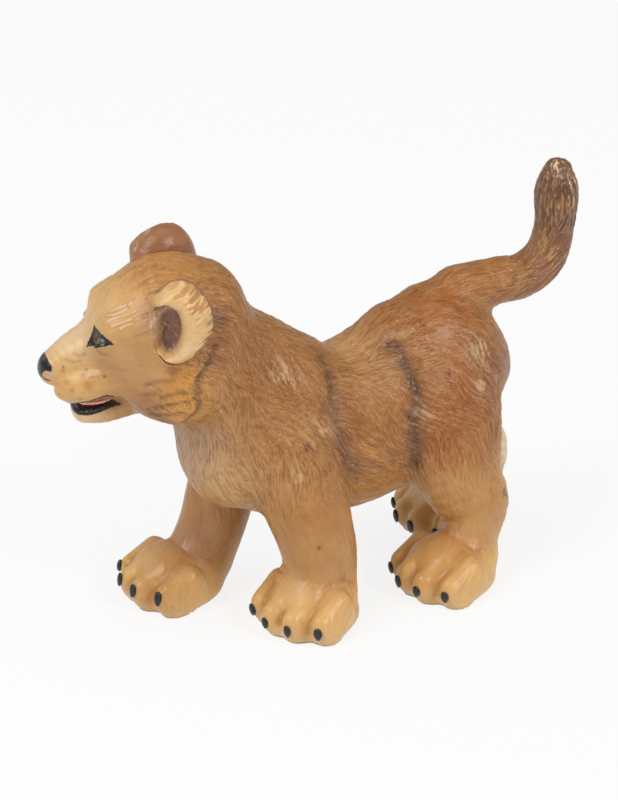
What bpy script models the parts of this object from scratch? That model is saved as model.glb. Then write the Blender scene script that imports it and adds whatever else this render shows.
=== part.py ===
"""Toy lion cub figure, cast in soft vinyl and put together from nine mouldings.

Metres, +Z up. The cub walks towards -X and stands on the ground plane z = 0, with its right side at +Y.
The flesh is one blended form, swept along the limbs, which is then cut at the mould seams into a torso,
a head, a tail and four legs. Each moulding seats in its neighbour with a round peg, and so do the two ears.
"""

import math

import bmesh
import bpy
import numpy as np
from mathutils import Matrix, Vector

# Body sizes
BACK_HEIGHT = 0.0344  # ground to the dip of the back
BODY_LENGTH = 0.0345  # first to last station of the trunk
BODY_WIDTH = 0.0184
BODY_DEPTH = 0.0232  # back to belly
NECK_REACH = 0.0090  # how far the neck runs ahead of its root
NECK_RISE = 0.0085
NECK_WIDTH = 0.0160

# Head sizes
HEAD_LENGTH = 0.0260  # nose to nape
HEAD_WIDTH = 0.0176
HEAD_HEIGHT = 0.0216  # crown to chin
HEAD_REACH = 0.0210  # head's centre ahead of the origin
HEAD_SHIFT = 0.0020  # and towards the right side
HEAD_LEVEL = 0.0400  # height of the head's centre
HEAD_TURN = math.radians(17.0)
HEAD_TILT = math.radians(5.0)  # its right side stands higher
EAR_HEIGHT = 0.0120
EAR_WIDTH = 0.0089
EAR_THICKNESS = 0.0044
EAR_BOWL_DEPTH = 0.0024
EAR_RIM = 0.0015
EAR_TURN = math.radians(15.0)  # how far the ear's bowl looks forwards

# Tail sizes
TAIL_REACH = 0.0159  # root to furthest point behind
TAIL_RISE = 0.0134  # root to the last station
TAIL_THICKNESS = 0.0062

# Leg sizes
SHOULDER_HEIGHT = 0.0250
HIP_HEIGHT = 0.0270
LEG_THICKNESS = 0.0088
HAUNCH_THICKNESS = 0.0096
TRACK = 0.0170  # between the left and right ankles
WHEELBASE = 0.0240  # between the shoulders and the hips
PAW_LENGTH = 0.0124
PAW_WIDTH = 0.0124
PAW_HEIGHT = 0.0074

# Seams and pegs
SEAM_GAP = 0.0003
PEG_CLEARANCE = 0.0003
NECK_PEG_RADIUS = 0.0032
NECK_PEG_LENGTH = 0.0060
TAIL_PEG_RADIUS = 0.0014
TAIL_PEG_LENGTH = 0.0040
LEG_PEG_RADIUS = 0.0016
LEG_PEG_LENGTH = 0.0032
LEG_SOCKET_DEPTH = 0.0044  # how far a leg is let into the flank at hip height
EAR_PEG_RADIUS = 0.0012
EAR_PEG_LENGTH = 0.0026
OVERRUN = 0.0500  # how far a cutter reaches past the figure

# Mesh fineness
VOXEL = 0.00080
SKIN_SHARE = 0.17  # triangles kept of the remeshed skin
SPAN_STEPS = 4
RING_POINTS = 16
CAP_RINGS = 4
PEG_SIDES = 24
PULLS = 3  # rounds of drawing the mesh onto the blended form
TINY = 1e-9

FORWARD = np.array([-1.0, 0.0, 0.0])
RIGHT = np.array([0.0, 1.0, 0.0])
UP = np.array([0.0, 0.0, 1.0])

# Trunk: x by BODY_LENGTH, z by BACK_HEIGHT, half width by BODY_WIDTH, half depth by BODY_DEPTH
TRUNK_SHARES = (
    (-0.465, 0.712, 0.400, 0.385),
    (-0.265, 0.708, 0.489, 0.475),
    (0.000, 0.651, 0.500, 0.486),
    (0.200, 0.676, 0.470, 0.505),
    (0.400, 0.752, 0.462, 0.532),
    (0.545, 0.872, 0.415, 0.440),
)
NECK_ROOT_SHARES = (-0.261, 0.0, 0.814)  # x by BODY_LENGTH, y by BODY_WIDTH, z by BACK_HEIGHT
# Neck: reach, shift and rise by the neck's own run, half width and half depth by NECK_WIDTH
NECK_SHARES = (
    (0.0, 0.0, 0.0, 0.525, 0.610),
    (0.61, 0.30, 0.53, 0.500, 0.585),
    (1.0, 0.70, 1.0, 0.475, 0.512),
)

# Head forms: forward by HEAD_LENGTH, sideways by HEAD_WIDTH, up by HEAD_HEIGHT, then half sizes
# by HEAD_WIDTH and HEAD_HEIGHT
SKULL_SHARES = (
    (-0.065, 0.0, 0.019, 0.472, 0.412),
    (0.085, 0.0, 0.042, 0.500, 0.435),
    (0.238, 0.0, -0.022, 0.409, 0.350),
)
BRIDGE_SHARES = (
    (0.270, 0.0, 0.009, 0.273, 0.181),
    (0.481, 0.0, -0.042, 0.182, 0.134),
    (0.623, 0.0, -0.125, 0.131, 0.093),
)
JAW_SHARES = (
    (0.212, 0.0, -0.315, 0.270, 0.130),
    (0.392, 0.0, -0.412, 0.210, 0.088),
    (0.490, 0.0, -0.435, 0.150, 0.069),
)
# One whisker pad, on the right. The left one mirrors it
PAD_SHARES = (
    (0.300, 0.190, -0.150, 0.148, 0.111),
    (0.430, 0.150, -0.187, 0.148, 0.116),
    (0.540, 0.100, -0.222, 0.131, 0.108),
)
# Rounded swellings of the head: place, then half length, half width and half height, in the same shares
BROW_SHARES = ((0.325, 0.190, 0.180), (0.096, 0.136, 0.085))
CHEEK_SHARES = ((0.077, 0.295, -0.194), (0.246, 0.227, 0.231))
RUFF_SHARES = ((0.010, 0.310, -0.205), (0.155, 0.222, 0.218))
NOSE_SHARES = ((0.646, 0.0, -0.148), (0.058, 0.114, 0.079))
EYE_SHARES = ((0.405, 0.235, 0.080), (0.055, 0.070, 0.058))
EAR_PLACE_SHARES = (0.056, 0.495, 0.245)
# The mouth is a slit: its stations and half sizes are cut out of the head
MOUTH_SHARES = (
    (0.340, 0.0, -0.312, 0.285, 0.016),
    (0.450, 0.0, -0.330, 0.255, 0.024),
    (0.580, 0.0, -0.352, 0.170, 0.024),
)

# Tail: x by TAIL_REACH, z by TAIL_RISE, half width and half depth by TAIL_THICKNESS
TAIL_ROOT_SHARES = (0.580, 1.075)  # x by BODY_LENGTH, z by BACK_HEIGHT
TAIL_SHARES = (
    (0.000, 0.000, 0.560, 0.560),
    (0.403, 0.007, 0.484, 0.500),
    (0.648, -0.007, 0.468, 0.476),
    (0.881, 0.142, 0.452, 0.460),
    (0.972, 0.485, 0.427, 0.427),
    (0.980, 0.791, 0.468, 0.480),
    (0.985, 1.000, 0.315, 0.331),
)

# Legs: x by WHEELBASE from the shoulder or hip, y by TRACK, z by SHOULDER_HEIGHT or HIP_HEIGHT,
# half width and half depth by LEG_THICKNESS or HAUNCH_THICKNESS
SHOULDER_PLACE_SHARE = -0.275  # shoulders and hips along BODY_LENGTH
LEFT_FORELEG_SHARES = (
    (0.000, 0.341, 1.00, 0.432, 0.795),
    (0.040, 0.412, 0.68, 0.500, 0.648),
    (0.078, 0.465, 0.50, 0.500, 0.591),
    (0.108, 0.475, 0.336, 0.494, 0.557),
    (0.096, 0.485, 0.18, 0.483, 0.534),
)
RIGHT_FORELEG_SHARES = (
    (-0.013, 0.341, 1.00, 0.432, 0.795),
    (-0.042, 0.412, 0.72, 0.494, 0.630),
    (-0.104, 0.465, 0.528, 0.483, 0.545),
    (-0.170, 0.455, 0.36, 0.477, 0.511),
    (-0.255, 0.435, 0.20, 0.466, 0.511),
)
LEFT_HIND_LEG_SHARES = (
    (-0.035, 0.329, 1.00, 0.438, 0.865),
    (-0.015, 0.400, 0.760, 0.500, 0.790),
    (0.035, 0.465, 0.519, 0.448, 0.590),
    (0.110, 0.518, 0.385, 0.385, 0.479),
    (0.055, 0.547, 0.237, 0.375, 0.410),
    (0.030, 0.571, 0.156, 0.396, 0.427),
)
RIGHT_HIND_LEG_SHARES = (
    (0.020, 0.329, 1.00, 0.438, 0.938),
    (0.200, 0.400, 0.760, 0.479, 0.833),
    (0.400, 0.415, 0.519, 0.417, 0.542),
    (0.575, 0.360, 0.370, 0.354, 0.417),
    (0.520, 0.310, 0.241, 0.344, 0.375),
    (0.430, 0.285, 0.156, 0.365, 0.396),
)
# Paw: forward by PAW_LENGTH, sideways by PAW_WIDTH, height of the centre by PAW_HEIGHT
PAW_SHARES = (
    (-0.220, 0.0, 0.405, 0.355, 0.460),
    (0.060, 0.0, 0.470, 0.430, 0.540),
    (0.190, 0.0, 0.390, 0.430, 0.440),
)
TOE_SPREAD_SHARES = (-0.385, -0.130, 0.130, 0.385)  # across PAW_WIDTH
TOE_REACH_SHARES = (0.260, 0.395, 0.395, 0.260)  # along PAW_LENGTH
TOE_ROOT_SHARE = 0.270  # knuckle behind the toe's tip
TOE_WIDTH_SHARE = 0.150
TOE_HEIGHT_SHARES = (0.540, 0.300)  # knuckle and tip, by PAW_HEIGHT
TOE_DEPTH_SHARES = (0.350, 0.350)

# Blend widths, by the size of what they join
BODY_BLEND_SHARE = 0.18
HEAD_BLEND_SHARE = 0.15
FACE_BLEND_SHARE = 0.075
PAW_BLEND_SHARE = 0.20
TOE_BLEND_SHARE = 0.075

# Seams as flat outlines, run anticlockwise. The head's lies in its own forward and up directions, by
# HEAD_LENGTH and HEAD_HEIGHT. Its first and last points are the two ends of the seam across the neck
HEAD_SEAM_SHARES = ((0.208, -0.590), (1.200, -0.590), (1.200, 0.926), (-0.465, 0.926))
NECK_PEG_SHARE = 0.34  # where the peg stands on that line
TAIL_SEAM_SHARE = 0.43  # where along the tail's reach its moulding starts
TAIL_SEAM_DROP_SHARE = 0.78  # how far that moulding may hang below the tail's root, by TAIL_THICKNESS
# Leg seams in x and z, by WHEELBASE from the shoulder or hip and by SHOULDER_HEIGHT or HIP_HEIGHT
FORELEG_SEAM_SHARES = (
    (-1.100, -0.100),
    (0.390, -0.100),
    (0.390, 0.450),
    (0.290, 0.830),
    (0.240, 0.930),
    (0.185, 1.120),
    (0.165, 1.230),
    (0.060, 1.290),
    (-0.100, 1.240),
    (-0.330, 1.000),
    (-0.520, 0.640),
    (-1.100, 0.560),
)
HIND_LEG_SEAM_SHARES = (
    (-0.560, -0.100),
    (1.200, -0.100),
    (1.200, 0.900),
    (0.440, 0.960),
    (0.220, 1.090),
    (-0.060, 1.150),
    (-0.270, 1.140),
    (-0.310, 1.063),
    (-0.333, 0.937),
    (-0.345, 0.820),
    (-0.370, 0.640),
    (-0.560, 0.380),
)
# Ear, from the back pole round the rim to the bottom of the bowl: across by the half width, and how
# far behind the rim by EAR_THICKNESS
EAR_BACK_SHARES = ((0.0, 1.0), (0.42, 0.94), (0.76, 0.66), (0.96, 0.26), (1.0, 0.04))
EAR_RIM_BULGE_SHARE = 0.12  # how far the rim's top stands proud, by EAR_THICKNESS
EAR_BOWL_SHARES = ((1.0, 0.10), (0.80, 0.62), (0.45, 0.94))
EAR_BOWL_SHIFT_SHARE = 0.16  # how far the bowl's bottom lies ahead of its middle, by EAR_WIDTH
EAR_POINTS = 28


def spline(rows, steps=SPAN_STEPS):
    """Rows read from a smooth curve through the given rows, a few to each span (Catmull-Rom)."""
    rows = np.asarray(rows, float)
    ends = np.vstack([2 * rows[0] - rows[1], rows, 2 * rows[-1] - rows[-2]])
    t = np.linspace(0.0, 1.0, steps, endpoint=False)[:, None]
    spans = []
    for p0, p1, p2, p3 in zip(ends, ends[1:], ends[2:], ends[3:]):
        spans.append(
            p1
            + 0.5 * t * (p2 - p0)
            + 0.5 * t**2 * (2 * p0 - 5 * p1 + 4 * p2 - p3)
            + 0.5 * t**3 * (3 * p1 - p0 - 3 * p2 + p3)
        )
    return np.vstack([*spans, rows[-1:]])


def limb(rows, side, blend, cap_share=1.0):
    """A swept form. Each row is a centre, a half width along side and a half depth across it."""
    return {"rows": spline(rows), "side": np.asarray(side, float), "blend": blend, "cap": cap_share}


def swelling(centre, half, axes, blend):
    """An ellipsoid: a very short limb along its first axis."""
    along, side, _ = axes
    length, width, depth = half
    step = along * length * 0.02
    rows = [[*(centre - step), width, depth], [*(centre + step), width, depth]]
    return limb(rows, side, blend, length / min(width, depth))


def distance(points, form):
    """Roughly the distance from each point to the form's surface, negative inside."""
    nearest = np.full(len(points), np.inf)
    for a, b in zip(form["rows"], form["rows"][1:]):
        run = b[:3] - a[:3]
        length = np.linalg.norm(run)
        along = run / length
        t = np.clip((points - a[:3]) @ along / length, 0.0, 1.0)
        offset = points - a[:3] - t[:, None] * run
        side = form["side"] - (form["side"] @ along) * along
        side /= np.linalg.norm(side)
        width = a[3] + t * (b[3] - a[3])
        depth = a[4] + t * (b[4] - a[4])
        parts = (offset @ side, offset @ np.cross(along, side), offset @ along)
        halves = (width, depth, form["cap"] * np.minimum(width, depth))
        k0 = np.sqrt(sum((p / h) ** 2 for p, h in zip(parts, halves)))
        k1 = np.sqrt(sum((p / h**2) ** 2 for p, h in zip(parts, halves)))
        nearest = np.minimum(nearest, k0 * (k0 - 1.0) / (k1 + TINY))
    return nearest


def flesh(points, forms):
    """Distance to all the forms together, with a soft fillet of each form's blend width where it joins."""
    total = np.full(len(points), OVERRUN)
    for form in forms:
        reach = form["rows"][:, 3:].max() * max(1.0, form["cap"]) + 2 * form["blend"]
        low = form["rows"][:, :3].min(axis=0) - reach
        high = form["rows"][:, :3].max(axis=0) + reach
        near = np.flatnonzero(((points > low) & (points < high)).all(axis=1))
        a, b = total[near], distance(points[near], form)
        h = np.maximum(form["blend"] - np.abs(a - b), 0.0) / form["blend"]
        total[near] = np.minimum(a, b) - h**3 * form["blend"] / 6
    return total


def drawn_on(points, forms):
    """The points moved along the slope of the flesh's distance until they lie on its surface."""
    step = VOXEL / 20
    for _ in range(PULLS):
        gap = flesh(points, forms)
        slope = np.stack([flesh(points + step * axis, forms) - gap for axis in np.eye(3)], axis=1) / step
        move = slope * (gap / np.maximum((slope**2).sum(axis=1), 0.1))[:, None]
        far = np.linalg.norm(move, axis=1, keepdims=True)
        points = points - move * np.minimum(1.0, VOXEL / (far + TINY))
    return points


def swept_mesh(form):
    """Rings carried along a form's path, with rounded ends, as points and faces of one closed surface."""
    rows = form["rows"]
    angle = np.linspace(0.0, 2 * math.pi, RING_POINTS, endpoint=False)
    tilt = np.linspace(0.0, math.pi / 2, CAP_RINGS, endpoint=False)[1:]
    rings = []
    for i, row in enumerate(rows):
        run = rows[min(i + 1, len(rows) - 1)][:3] - rows[max(i - 1, 0)][:3]
        along = run / np.linalg.norm(run)
        side = form["side"] - (form["side"] @ along) * along
        side /= np.linalg.norm(side)
        across = np.cross(along, side)
        ring = np.outer(np.cos(angle) * row[3], side) + np.outer(np.sin(angle) * row[4], across)
        cap = form["cap"] * min(row[3], row[4])
        if i == 0:
            rings += [row[:3] + ring * math.cos(t) - along * cap * math.sin(t) for t in tilt[::-1]]
            first = row[:3] - along * cap
        rings.append(row[:3] + ring)
        if i == len(rows) - 1:
            rings += [row[:3] + ring * math.cos(t) + along * cap * math.sin(t) for t in tilt]
            last = row[:3] + along * cap
    points = np.vstack([*rings, first, last])
    count = len(rings)
    faces = []
    for r in range(count - 1):
        for k in range(RING_POINTS):
            n = (k + 1) % RING_POINTS
            a, b = r * RING_POINTS, (r + 1) * RING_POINTS
            faces.append((a + k, a + n, b + n, b + k))
    tail = (count - 1) * RING_POINTS
    for k in range(RING_POINTS):
        n = (k + 1) % RING_POINTS
        faces.append((n, k, len(points) - 2))
        faces.append((tail + k, tail + n, len(points) - 1))
    return points, faces


def mesh_object(name, points, faces):
    mesh = bpy.data.meshes.new(name)
    mesh.from_pydata([tuple(p) for p in points], [], [tuple(f) for f in faces])
    mesh.update()
    obj = bpy.data.objects.new(name, mesh)
    bpy.context.scene.collection.objects.link(obj)
    return obj


def applied(obj):
    """The object with its modifiers made part of its mesh."""
    graph = bpy.context.evaluated_depsgraph_get()
    mesh = bpy.data.meshes.new_from_object(obj.evaluated_get(graph))
    obj.modifiers.clear()
    obj.data = mesh
    return obj


def cast(name, forms):
    """One closed skin over several swept forms: joined, remeshed, drawn onto the blend and thinned."""
    points, faces = [], []
    for form in forms:
        form_points, form_faces = swept_mesh(form)
        start = sum(len(p) for p in points)
        points.append(form_points)
        faces += [tuple(start + v for v in face) for face in form_faces]
    obj = mesh_object(name, np.vstack(points), faces)
    remesh = obj.modifiers.new("remesh", "REMESH")
    remesh.mode = "VOXEL"
    remesh.voxel_size = VOXEL
    applied(obj)
    co = np.empty(len(obj.data.vertices) * 3)
    obj.data.vertices.foreach_get("co", co)
    obj.data.vertices.foreach_set("co", drawn_on(co.reshape(-1, 3), forms).ravel())
    thin = obj.modifiers.new("thin", "DECIMATE")
    thin.ratio = SKIN_SHARE
    thin.use_collapse_triangulate = True
    return applied(obj)


def helper(obj):
    obj.hide_render = True
    obj.display_type = "WIRE"
    return obj


def facing_out(obj):
    """The object with every face turned to look outwards."""
    form = bmesh.new()
    form.from_mesh(obj.data)
    bmesh.ops.recalc_face_normals(form, faces=form.faces)
    form.to_mesh(obj.data)
    form.free()
    return obj


def prism(name, near, far):
    """A cutter: a flat outline carried straight from its near place to its far place."""
    count = len(near)
    faces = [tuple(range(count)), tuple(range(2 * count - 1, count - 1, -1))]
    faces += [(k, (k + 1) % count, count + (k + 1) % count, count + k) for k in range(count)]
    return helper(facing_out(mesh_object(name, np.vstack([near, far]), faces)))


def hull(name, points):
    """A cutter: the convex hull of the points."""
    obj = mesh_object(name, points, [])
    form = bmesh.new()
    form.from_mesh(obj.data)
    made = bmesh.ops.convex_hull(form, input=form.verts)
    spare = [v for v in made["geom_interior"] + made["geom_unused"] if isinstance(v, bmesh.types.BMVert)]
    bmesh.ops.delete(form, geom=list(set(spare)), context="VERTS")
    bmesh.ops.recalc_face_normals(form, faces=form.faces)
    form.to_mesh(obj.data)
    form.free()
    return helper(obj)


def rod(name, start, along, length, radius):
    """A cylinder from start, used as a peg or as the cutter of its hole."""
    form = bmesh.new()
    bmesh.ops.create_cone(
        form, cap_ends=True, segments=PEG_SIDES, radius1=radius, radius2=radius, depth=length
    )
    turn = Vector(along).to_track_quat("Z", "Y").to_matrix().to_4x4()
    middle = Vector(start) + Vector(along).normalized() * length / 2
    bmesh.ops.transform(form, matrix=Matrix.Translation(middle) @ turn, verts=form.verts)
    mesh = bpy.data.meshes.new(name)
    form.to_mesh(mesh)
    form.free()
    obj = bpy.data.objects.new(name, mesh)
    bpy.context.scene.collection.objects.link(obj)
    return helper(obj)


def boolean(obj, operation, other):
    cut = obj.modifiers.new(other.name, "BOOLEAN")
    cut.operation = operation
    cut.solver = "EXACT"
    cut.object = other


def piece(name, skin, material):
    obj = skin.copy()
    obj.data = skin.data.copy()
    obj.name = name
    obj.hide_render = False
    obj.display_type = "TEXTURED"
    obj.data.materials.clear()
    obj.data.materials.append(material)
    bpy.context.scene.collection.objects.link(obj)
    return obj


def vinyl(name, color, roughness):
    material = bpy.data.materials.new(name)
    material.use_nodes = True
    shader = material.node_tree.nodes["Principled BSDF"]
    shader.inputs["Base Color"].default_value = (*color, 1.0)
    shader.inputs["Roughness"].default_value = roughness
    shader.inputs["Metallic"].default_value = 0.0
    return material


# Where the forms lie


def trunk_forms():
    scale = np.array([BODY_LENGTH, BACK_HEIGHT, BODY_WIDTH, BODY_DEPTH])
    rows = [(x, 0.0, z, w, d) for x, z, w, d in np.array(TRUNK_SHARES) * scale]
    neck = []
    for reach, shift, rise, width, depth in NECK_SHARES:
        centre = neck_root() + np.array([-reach * NECK_REACH, shift * HEAD_SHIFT, rise * NECK_RISE])
        neck.append([*centre, width * NECK_WIDTH, depth * NECK_WIDTH])
    blend = BODY_BLEND_SHARE * BODY_WIDTH
    return [limb(rows, RIGHT, blend, 0.8), limb(neck, RIGHT, blend, 0.6)]


def neck_root():
    return np.array(NECK_ROOT_SHARES) * (BODY_LENGTH, BODY_WIDTH, BACK_HEIGHT)


def head_axes():
    """The head's forward, right and up directions."""
    c, s = math.cos(HEAD_TURN), math.sin(HEAD_TURN)
    ahead, aside = c * FORWARD + s * RIGHT, c * RIGHT - s * FORWARD
    c, s = math.cos(HEAD_TILT), math.sin(HEAD_TILT)
    return ahead, c * aside + s * UP, c * UP - s * aside


def head_place(forward, right, up):
    centre = np.array([-HEAD_REACH, HEAD_SHIFT, HEAD_LEVEL])
    ahead, aside, above = head_axes()
    return centre + forward * HEAD_LENGTH * ahead + right * HEAD_WIDTH * aside + up * HEAD_HEIGHT * above


def head_rows(shares):
    return [[*head_place(f, s, u), w * HEAD_WIDTH, h * HEAD_HEIGHT] for f, s, u, w, h in shares]


def head_swelling(shares, hand, blend):
    (f, s, u), half = shares
    sizes = np.array(half) * (HEAD_LENGTH, HEAD_WIDTH, HEAD_HEIGHT)
    return swelling(head_place(f, hand * s, u), sizes, head_axes(), blend)


def head_forms():
    side = head_axes()[1]
    soft, fine = HEAD_BLEND_SHARE * HEAD_WIDTH, FACE_BLEND_SHARE * HEAD_WIDTH
    forms = [
        limb(head_rows(SKULL_SHARES), side, soft, 0.8),
        limb(head_rows(BRIDGE_SHARES), side, soft),
        limb(head_rows(JAW_SHARES), side, fine),
    ]
    for hand in (-1, 1):
        forms += [
            limb(head_rows([(f, hand * s, *rest) for f, s, *rest in PAD_SHARES]), side, fine),
            head_swelling(BROW_SHARES, hand, soft),
            head_swelling(CHEEK_SHARES, hand, soft),
            head_swelling(RUFF_SHARES, hand, soft),
            head_swelling(EYE_SHARES, hand, fine / 2),
        ]
    forms.append(head_swelling(NOSE_SHARES, 0, fine / 2))
    return forms


def tail_rows():
    root = np.array([TAIL_ROOT_SHARES[0] * BODY_LENGTH, TAIL_ROOT_SHARES[1] * BACK_HEIGHT])
    rows = []
    for x, z, width, depth in TAIL_SHARES:
        centre = [root[0] + x * TAIL_REACH, 0.0, root[1] + z * TAIL_RISE]
        rows.append([*centre, width * TAIL_THICKNESS, depth * TAIL_THICKNESS])
    return rows


# Each leg: its side, its stations, whether it is a hind leg, the paw's outward turn in degrees, and how
# far the paw's centre is ahead of the ankle by PAW_LENGTH
LEGS = {
    "left_foreleg": (-1, LEFT_FORELEG_SHARES, False, 18.0, 0.145),
    "right_foreleg": (1, RIGHT_FORELEG_SHARES, False, 3.0, 0.33),
    "left_hind_leg": (-1, LEFT_HIND_LEG_SHARES, True, 6.0, 0.28),
    "right_hind_leg": (1, RIGHT_HIND_LEG_SHARES, True, 3.0, 0.22),
}


def leg_rows(name):
    hand, shares, hind, _, _ = LEGS[name]
    height = HIP_HEIGHT if hind else SHOULDER_HEIGHT
    thick = HAUNCH_THICKNESS if hind else LEG_THICKNESS
    start = SHOULDER_PLACE_SHARE * BODY_LENGTH + (WHEELBASE if hind else 0.0)
    scale = np.array([WHEELBASE, hand * TRACK, height, thick, thick])
    return np.array(shares) * scale + np.array([start, 0.0, 0.0, 0.0, 0.0])


def paw_axes(name):
    hand, _, _, turn, _ = LEGS[name]
    angle = hand * math.radians(turn)
    c, s = math.cos(angle), math.sin(angle)
    return c * FORWARD + s * RIGHT, c * RIGHT - s * FORWARD


def paw_place(name, forward, sideways, height):
    ahead, aside = paw_axes(name)
    ankle = leg_rows(name)[-1][:2]
    centre = np.array([*ankle, 0.0]) + ahead * LEGS[name][4] * PAW_LENGTH
    level = height * PAW_HEIGHT
    return centre + forward * PAW_LENGTH * ahead + sideways * PAW_WIDTH * aside + level * UP


def leg_forms(name):
    aside = paw_axes(name)[1]
    blend = PAW_BLEND_SHARE * PAW_HEIGHT
    forms = [limb(leg_rows(name), RIGHT, BODY_BLEND_SHARE * BODY_WIDTH)]
    rows = [[*paw_place(name, f, s, u), w * PAW_WIDTH, d * PAW_HEIGHT] for f, s, u, w, d in PAW_SHARES]
    forms.append(limb(rows, aside, 2 * blend))
    width = TOE_WIDTH_SHARE * PAW_WIDTH
    for spread, reach in zip(TOE_SPREAD_SHARES, TOE_REACH_SHARES):
        knuckle = paw_place(name, reach - TOE_ROOT_SHARE, spread, TOE_HEIGHT_SHARES[0])
        tip = paw_place(name, reach, spread, TOE_HEIGHT_SHARES[1])
        depths = np.array(TOE_DEPTH_SHARES) * PAW_HEIGHT
        toe = [[*knuckle, width, depths[0]], [*tip, width, depths[1]]]
        forms.append(limb(toe, aside, TOE_BLEND_SHARE * PAW_WIDTH))
    return forms


def cub_forms():
    forms = trunk_forms() + head_forms()
    for name in LEGS:
        forms += leg_forms(name)
    return [*forms, limb(tail_rows(), RIGHT, BODY_BLEND_SHARE * BODY_WIDTH)]


def ear_axes(hand):
    """The ear's forward, up and outward directions. Its bowl looks outward."""
    ahead, aside, above = head_axes()
    c, s = math.cos(EAR_TURN), math.sin(EAR_TURN)
    return c * ahead - s * hand * aside, above, s * ahead + c * hand * aside


def ear_ring(hand, share, depth, grow=0.0, shift=0.0):
    """Points round the ear at a share of its half width, depth behind the rim and shifted forwards."""
    forward, above, outward = ear_axes(hand)
    f, s, u = EAR_PLACE_SHARES
    angle = np.linspace(0.0, 2 * math.pi, EAR_POINTS, endpoint=False)
    wide = (share * EAR_WIDTH / 2 + grow) * np.cos(angle)
    tall = (share * EAR_HEIGHT / 2 + grow) * np.sin(angle)
    centre = head_place(f, hand * s, u) + shift * forward - depth * outward
    return centre + np.outer(wide, forward) + np.outer(tall, above)


def ear_object(name, hand):
    """A shallow bowl with a thick round rim, closed at its back and at the bottom of its bowl."""
    inner = 1.0 - 2 * EAR_RIM / EAR_WIDTH
    bulge = EAR_RIM_BULGE_SHARE * EAR_THICKNESS
    rings = [ear_ring(hand, share, depth * EAR_THICKNESS) for share, depth in EAR_BACK_SHARES[1:]]
    rings.append(ear_ring(hand, 1.0 - 0.5 * EAR_RIM / EAR_WIDTH, -0.7 * bulge))
    rings.append(ear_ring(hand, 1.0 - 1.1 * EAR_RIM / EAR_WIDTH, -bulge))
    shift = EAR_BOWL_SHIFT_SHARE * EAR_WIDTH
    for share, depth in EAR_BOWL_SHARES:
        rings.append(ear_ring(hand, inner * share, depth * EAR_BOWL_DEPTH, shift=(1.0 - share) * shift))
    back = ear_ring(hand, 0.0, EAR_THICKNESS)[:1]
    bowl = ear_ring(hand, 0.0, EAR_BOWL_DEPTH, shift=shift)[:1]
    faces = []
    for k in range(EAR_POINTS):
        n = (k + 1) % EAR_POINTS
        for r in range(len(rings) - 1):
            a, b = r * EAR_POINTS, (r + 1) * EAR_POINTS
            faces.append((a + k, a + n, b + n, b + k))
        top = (len(rings) - 1) * EAR_POINTS
        faces.append((n, k, len(rings) * EAR_POINTS))
        faces.append((top + k, top + n, len(rings) * EAR_POINTS + 1))
    return facing_out(mesh_object(name, np.vstack([*rings, back, bowl]), faces))


def ear_seat(name, hand):
    """The hollow that the ear stands in: its back, one seam gap larger all round."""
    rings = []
    for share, depth in EAR_BACK_SHARES:
        rings.append(ear_ring(hand, share, depth * (EAR_THICKNESS + SEAM_GAP), SEAM_GAP))
    rings.append(ear_ring(hand, 1.0, -OVERRUN / 10, SEAM_GAP))
    return hull(name, np.vstack(rings))


def grown(outline, gap):
    """The outline with each of its sides moved outwards by the gap."""
    outline = np.asarray(outline, float)
    ahead = np.roll(outline, -1, axis=0) - outline
    out = np.stack([ahead[:, 1], -ahead[:, 0]], axis=1) / np.linalg.norm(ahead, axis=1, keepdims=True)
    before = np.roll(out, 1, axis=0)
    return outline + gap * (out + before) / (1.0 + (out * before).sum(axis=1, keepdims=True))


def head_cutter(name, gap=0.0):
    ahead, aside, above = head_axes()
    centre = head_place(0.0, 0.0, 0.0)
    outline = grown(np.array(HEAD_SEAM_SHARES) * (HEAD_LENGTH, HEAD_HEIGHT), gap)
    flat = [centre + f * ahead + u * above for f, u in outline]
    return prism(name, [p - OVERRUN * aside for p in flat], [p + OVERRUN * aside for p in flat])


def tail_seam():
    rows = tail_rows()
    return rows[0][0] + TAIL_SEAM_SHARE * TAIL_REACH, rows[0][2]


def tail_cutter(name, gap=0.0):
    x, z = tail_seam()
    low = z - TAIL_SEAM_DROP_SHARE * TAIL_THICKNESS
    outline = grown([(x, low), (x + OVERRUN, low), (x + OVERRUN, z + OVERRUN), (x, z + OVERRUN)], gap)
    return prism(name, [(x, -OVERRUN, z) for x, z in outline], [(x, OVERRUN, z) for x, z in outline])


def seam_depth(z):
    """How far out from the middle a leg's seam lies at height z. It leans in towards the ground."""
    return (BODY_WIDTH / 2 - LEG_SOCKET_DEPTH) * z / HIP_HEIGHT


def leg_cutter(name, leg, gap=0.0):
    hand, _, hind, _, _ = LEGS[leg]
    shares = HIND_LEG_SEAM_SHARES if hind else FORELEG_SEAM_SHARES
    height = HIP_HEIGHT if hind else SHOULDER_HEIGHT
    start = SHOULDER_PLACE_SHARE * BODY_LENGTH + (WHEELBASE if hind else 0.0)
    outline = grown(np.array(shares) * (WHEELBASE, height) + (start, 0.0), gap)
    near = [(x, hand * (seam_depth(z) - gap), z) for x, z in outline]
    return prism(name, near, [(x, hand * OVERRUN, z) for x, z in outline])


def largest_body(obj):
    """The object with only its largest connected body kept, so that no crumb is left at a seam."""
    form = bmesh.new()
    form.from_mesh(obj.data)
    left, bodies = set(form.verts), []
    while left:
        body, edge = set(), {left.pop()}
        while edge:
            body |= edge
            edge = {e.other_vert(v) for v in edge for e in v.link_edges} - body
        left -= body
        bodies.append(body)
    bodies.sort(key=len)
    bmesh.ops.delete(form, geom=[v for body in bodies[:-1] for v in body], context="VERTS")
    form.to_mesh(obj.data)
    form.free()
    return obj


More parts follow.
